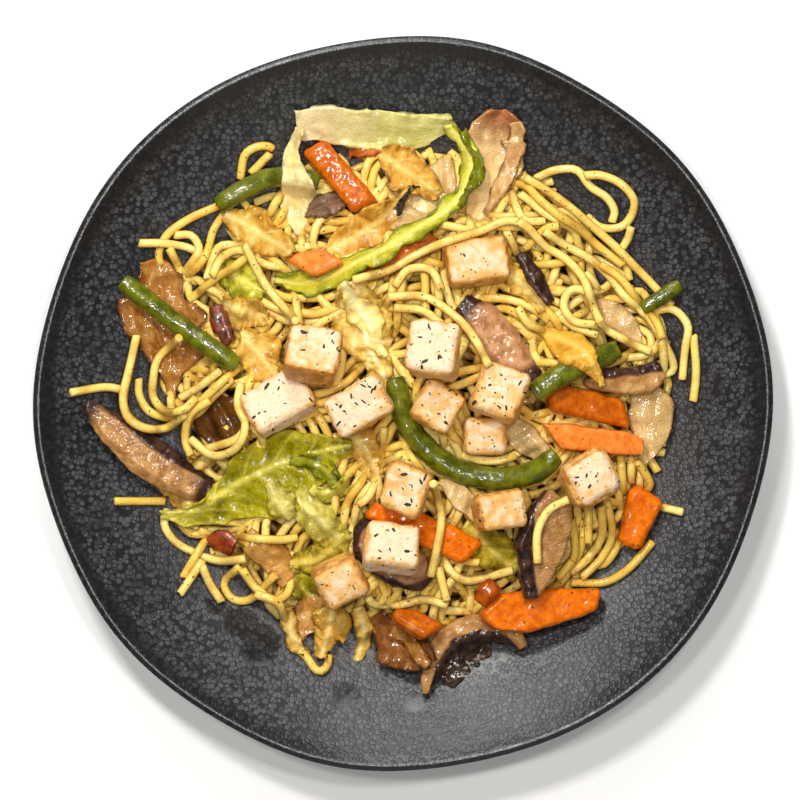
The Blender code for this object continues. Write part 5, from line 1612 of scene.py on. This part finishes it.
def make_core_mesh(surface):
    """The heap's core, dark brown as painted shade in the gaps between noodles, as rings on the height map
    and a flat underside just over the plate.
    """
    shares = np.linspace(0.03, 1, CORE_RINGS)
    angles = np.linspace(0, math.tau, CORE_SECTORS, endpoint=False)
    reach = core_reach(angles) * CORE_SHRINK
    radius = shares[:, None] * reach[None]
    x, y = radius * np.cos(angles), radius * np.sin(angles)
    top = core_height(radius, angles[None], CORE_SHRINK) - CORE_DEPTH
    top = np.maximum(top, bowl_height(radius) + CORE_OVER_PLATE)
    rings = np.stack([x, y, top], axis=-1)
    low = np.stack([x[-1], y[-1], bowl_height(radius[-1]) + 0.1 * MM], axis=-1)
    rings = np.concatenate([rings, [low]])
    index = np.arange(rings[..., 0].size).reshape(rings.shape[:2])
    # Both caps are out of sight, and they face inward.
    faces = ring_faces(index)[:-2] + [index[0][::-1].tolist(), index[-1].tolist()]
    core = object_of("noodle_core", rings.reshape(-1, 3), faces)
    return hand_over(core, "noodle", surface=surface)


def make_heap(surfaces):
    """The noodles and scraps, laid from the lowest to the uppermost."""
    toppings = [name for name in NODES if name not in ("plate", "noodles")]
    low, high = node_maps(toppings)
    plate_map = bowl_height(GRID_RADIUS)
    inner = core_height(GRID_RADIUS, GRID_ANGLE, CORE_SHRINK) - CORE_DEPTH
    inside = GRID_RADIUS < core_reach(GRID_ANGLE) * CORE_SHRINK
    core_map = np.where(inside, np.maximum(inner, plate_map + CORE_OVER_PLATE), plate_map)
    target = core_height(GRID_RADIUS, GRID_ANGLE) + FILL_RISE
    heap = Heap(plate_map, core_map, low, high)
    make_core_mesh(core_paint())

    draw = draw_for("noodles")
    fill_heap(heap, target, draw)
    make_sheets(SCRAPS, surfaces, heap)
    for route in HERO_NOODLES:
        heap.lay(np.array(route) * MM, "noodles_upper", draw, shortest=SHORTEST_SHOWN)
    for route in OVER_NOODLES:
        heap.lay(np.array(route) * MM, "noodles_over", draw, over=True)
    noodle = noodle_paint()
    for piece in sorted(heap.tubes):
        heap.finish(piece, noodle, *(["noodles"] if piece == "noodles_upper" else []))


def main():
    surfaces = {name: leaf_paint(f"{name}_cabbage", *colours) for name, colours in LEAF_COLOURS.items()}
    surfaces |= {name: onion_paint(f"{name}_petal", *colours) for name, colours in ONION_COLOURS.items()}
    make_plate()
    make_heap(surfaces)

    tofu = tofu_paint()
    for number in TOFU_LOOKS:
        make_tofu(number, tofu)
    carrots = {tint: carrot_paint(f"{tint}_carrot", *colours) for tint, colours in CARROT_TINTS.items()}
    for number in range(1, CARROTS + 1):
        make_carrot(number, carrots)
    bean = bean_paint()
    for name in BEANS:
        make_bean(name, bean)
    flesh = {tint: mushroom_paint(f"{tint}_mushroom", *colours) for tint, colours in MUSHROOM_TINTS.items()}
    for number in MUSHROOMS:
        make_mushroom(number, flesh)
    make_sheets(SHEETS, surfaces)
    make_sheets(LYING_ON, surfaces)

    maroon = plain_paint("dark_pepper", (0.06, 0.007, 0.002), (0.20, 0.035, 0.006), 0.45, 3 * MM, 0.7)
    make_lump("pepper_piece", "pepper", "pepper", maroon, bumps=0.8)
    red = plain_paint("cooked_chili", (0.33, 0.050, 0.001), (0.15, 0.009, 0.0005), 0.45, 3 * MM, 0.7)
    make_lump("chili_ring", "chili", "pepper", red, bumps=0.7)

    scatter_specks()
    stage_the_scene()


def scatter_specks():
    """Herb flakes on the tofu, and pepper over everything."""
    bpy.context.view_layer.update()
    herb = plain_paint("dried_herb", (0.014, 0.010, 0.004), (0.045, 0.030, 0.010), 0.7)
    draw = draw_for("herbs")
    places, normals = [], []
    for number, (_, _, count) in TOFU_LOOKS.items():
        mesh = bpy.data.objects[f"fried_tofu_{number}"].data
        points = points_of(mesh)
        low, high = points[:, :2].min(axis=0), points[:, :2].max(axis=0)
        found = scattered_on(tree_of(mesh), draw, count, low, high)
        places += found[0]
        normals += found[1]
    size = draw.uniform(0.15, 1.0, len(places)) ** 2.2
    widths = (0.45 + 1.0 * size * draw.uniform(0.3, 1.5, len(places))) * MM
    flakes("herb_flakes", places, normals, (0.6 + 3.0 * size) * MM, widths, herb, "tofu", draw)

    pepper = plain_paint("ground_pepper", (0.03, 0.014, 0.005), (0.13, 0.05, 0.012), 0.7)
    starts = "noodles_", "cut_carrot", "soft_leaf", "fried_tofu"
    shown = [obj.data for obj in bpy.data.objects if obj.type == "MESH" and obj.name.startswith(starts)]
    tree = tree_of(*shown)
    places, normals = scattered_on(tree, draw, PEPPER_CRUMBS, -PEPPER_SPAN, PEPPER_SPAN)
    size = draw.uniform(0.35, 1.0, len(places)) ** 1.6 * 1.05 * MM
    flakes("ground_pepper", places, normals, size, size * 0.75, pepper, "noodle", draw, raised=0.08 * MM)


main()
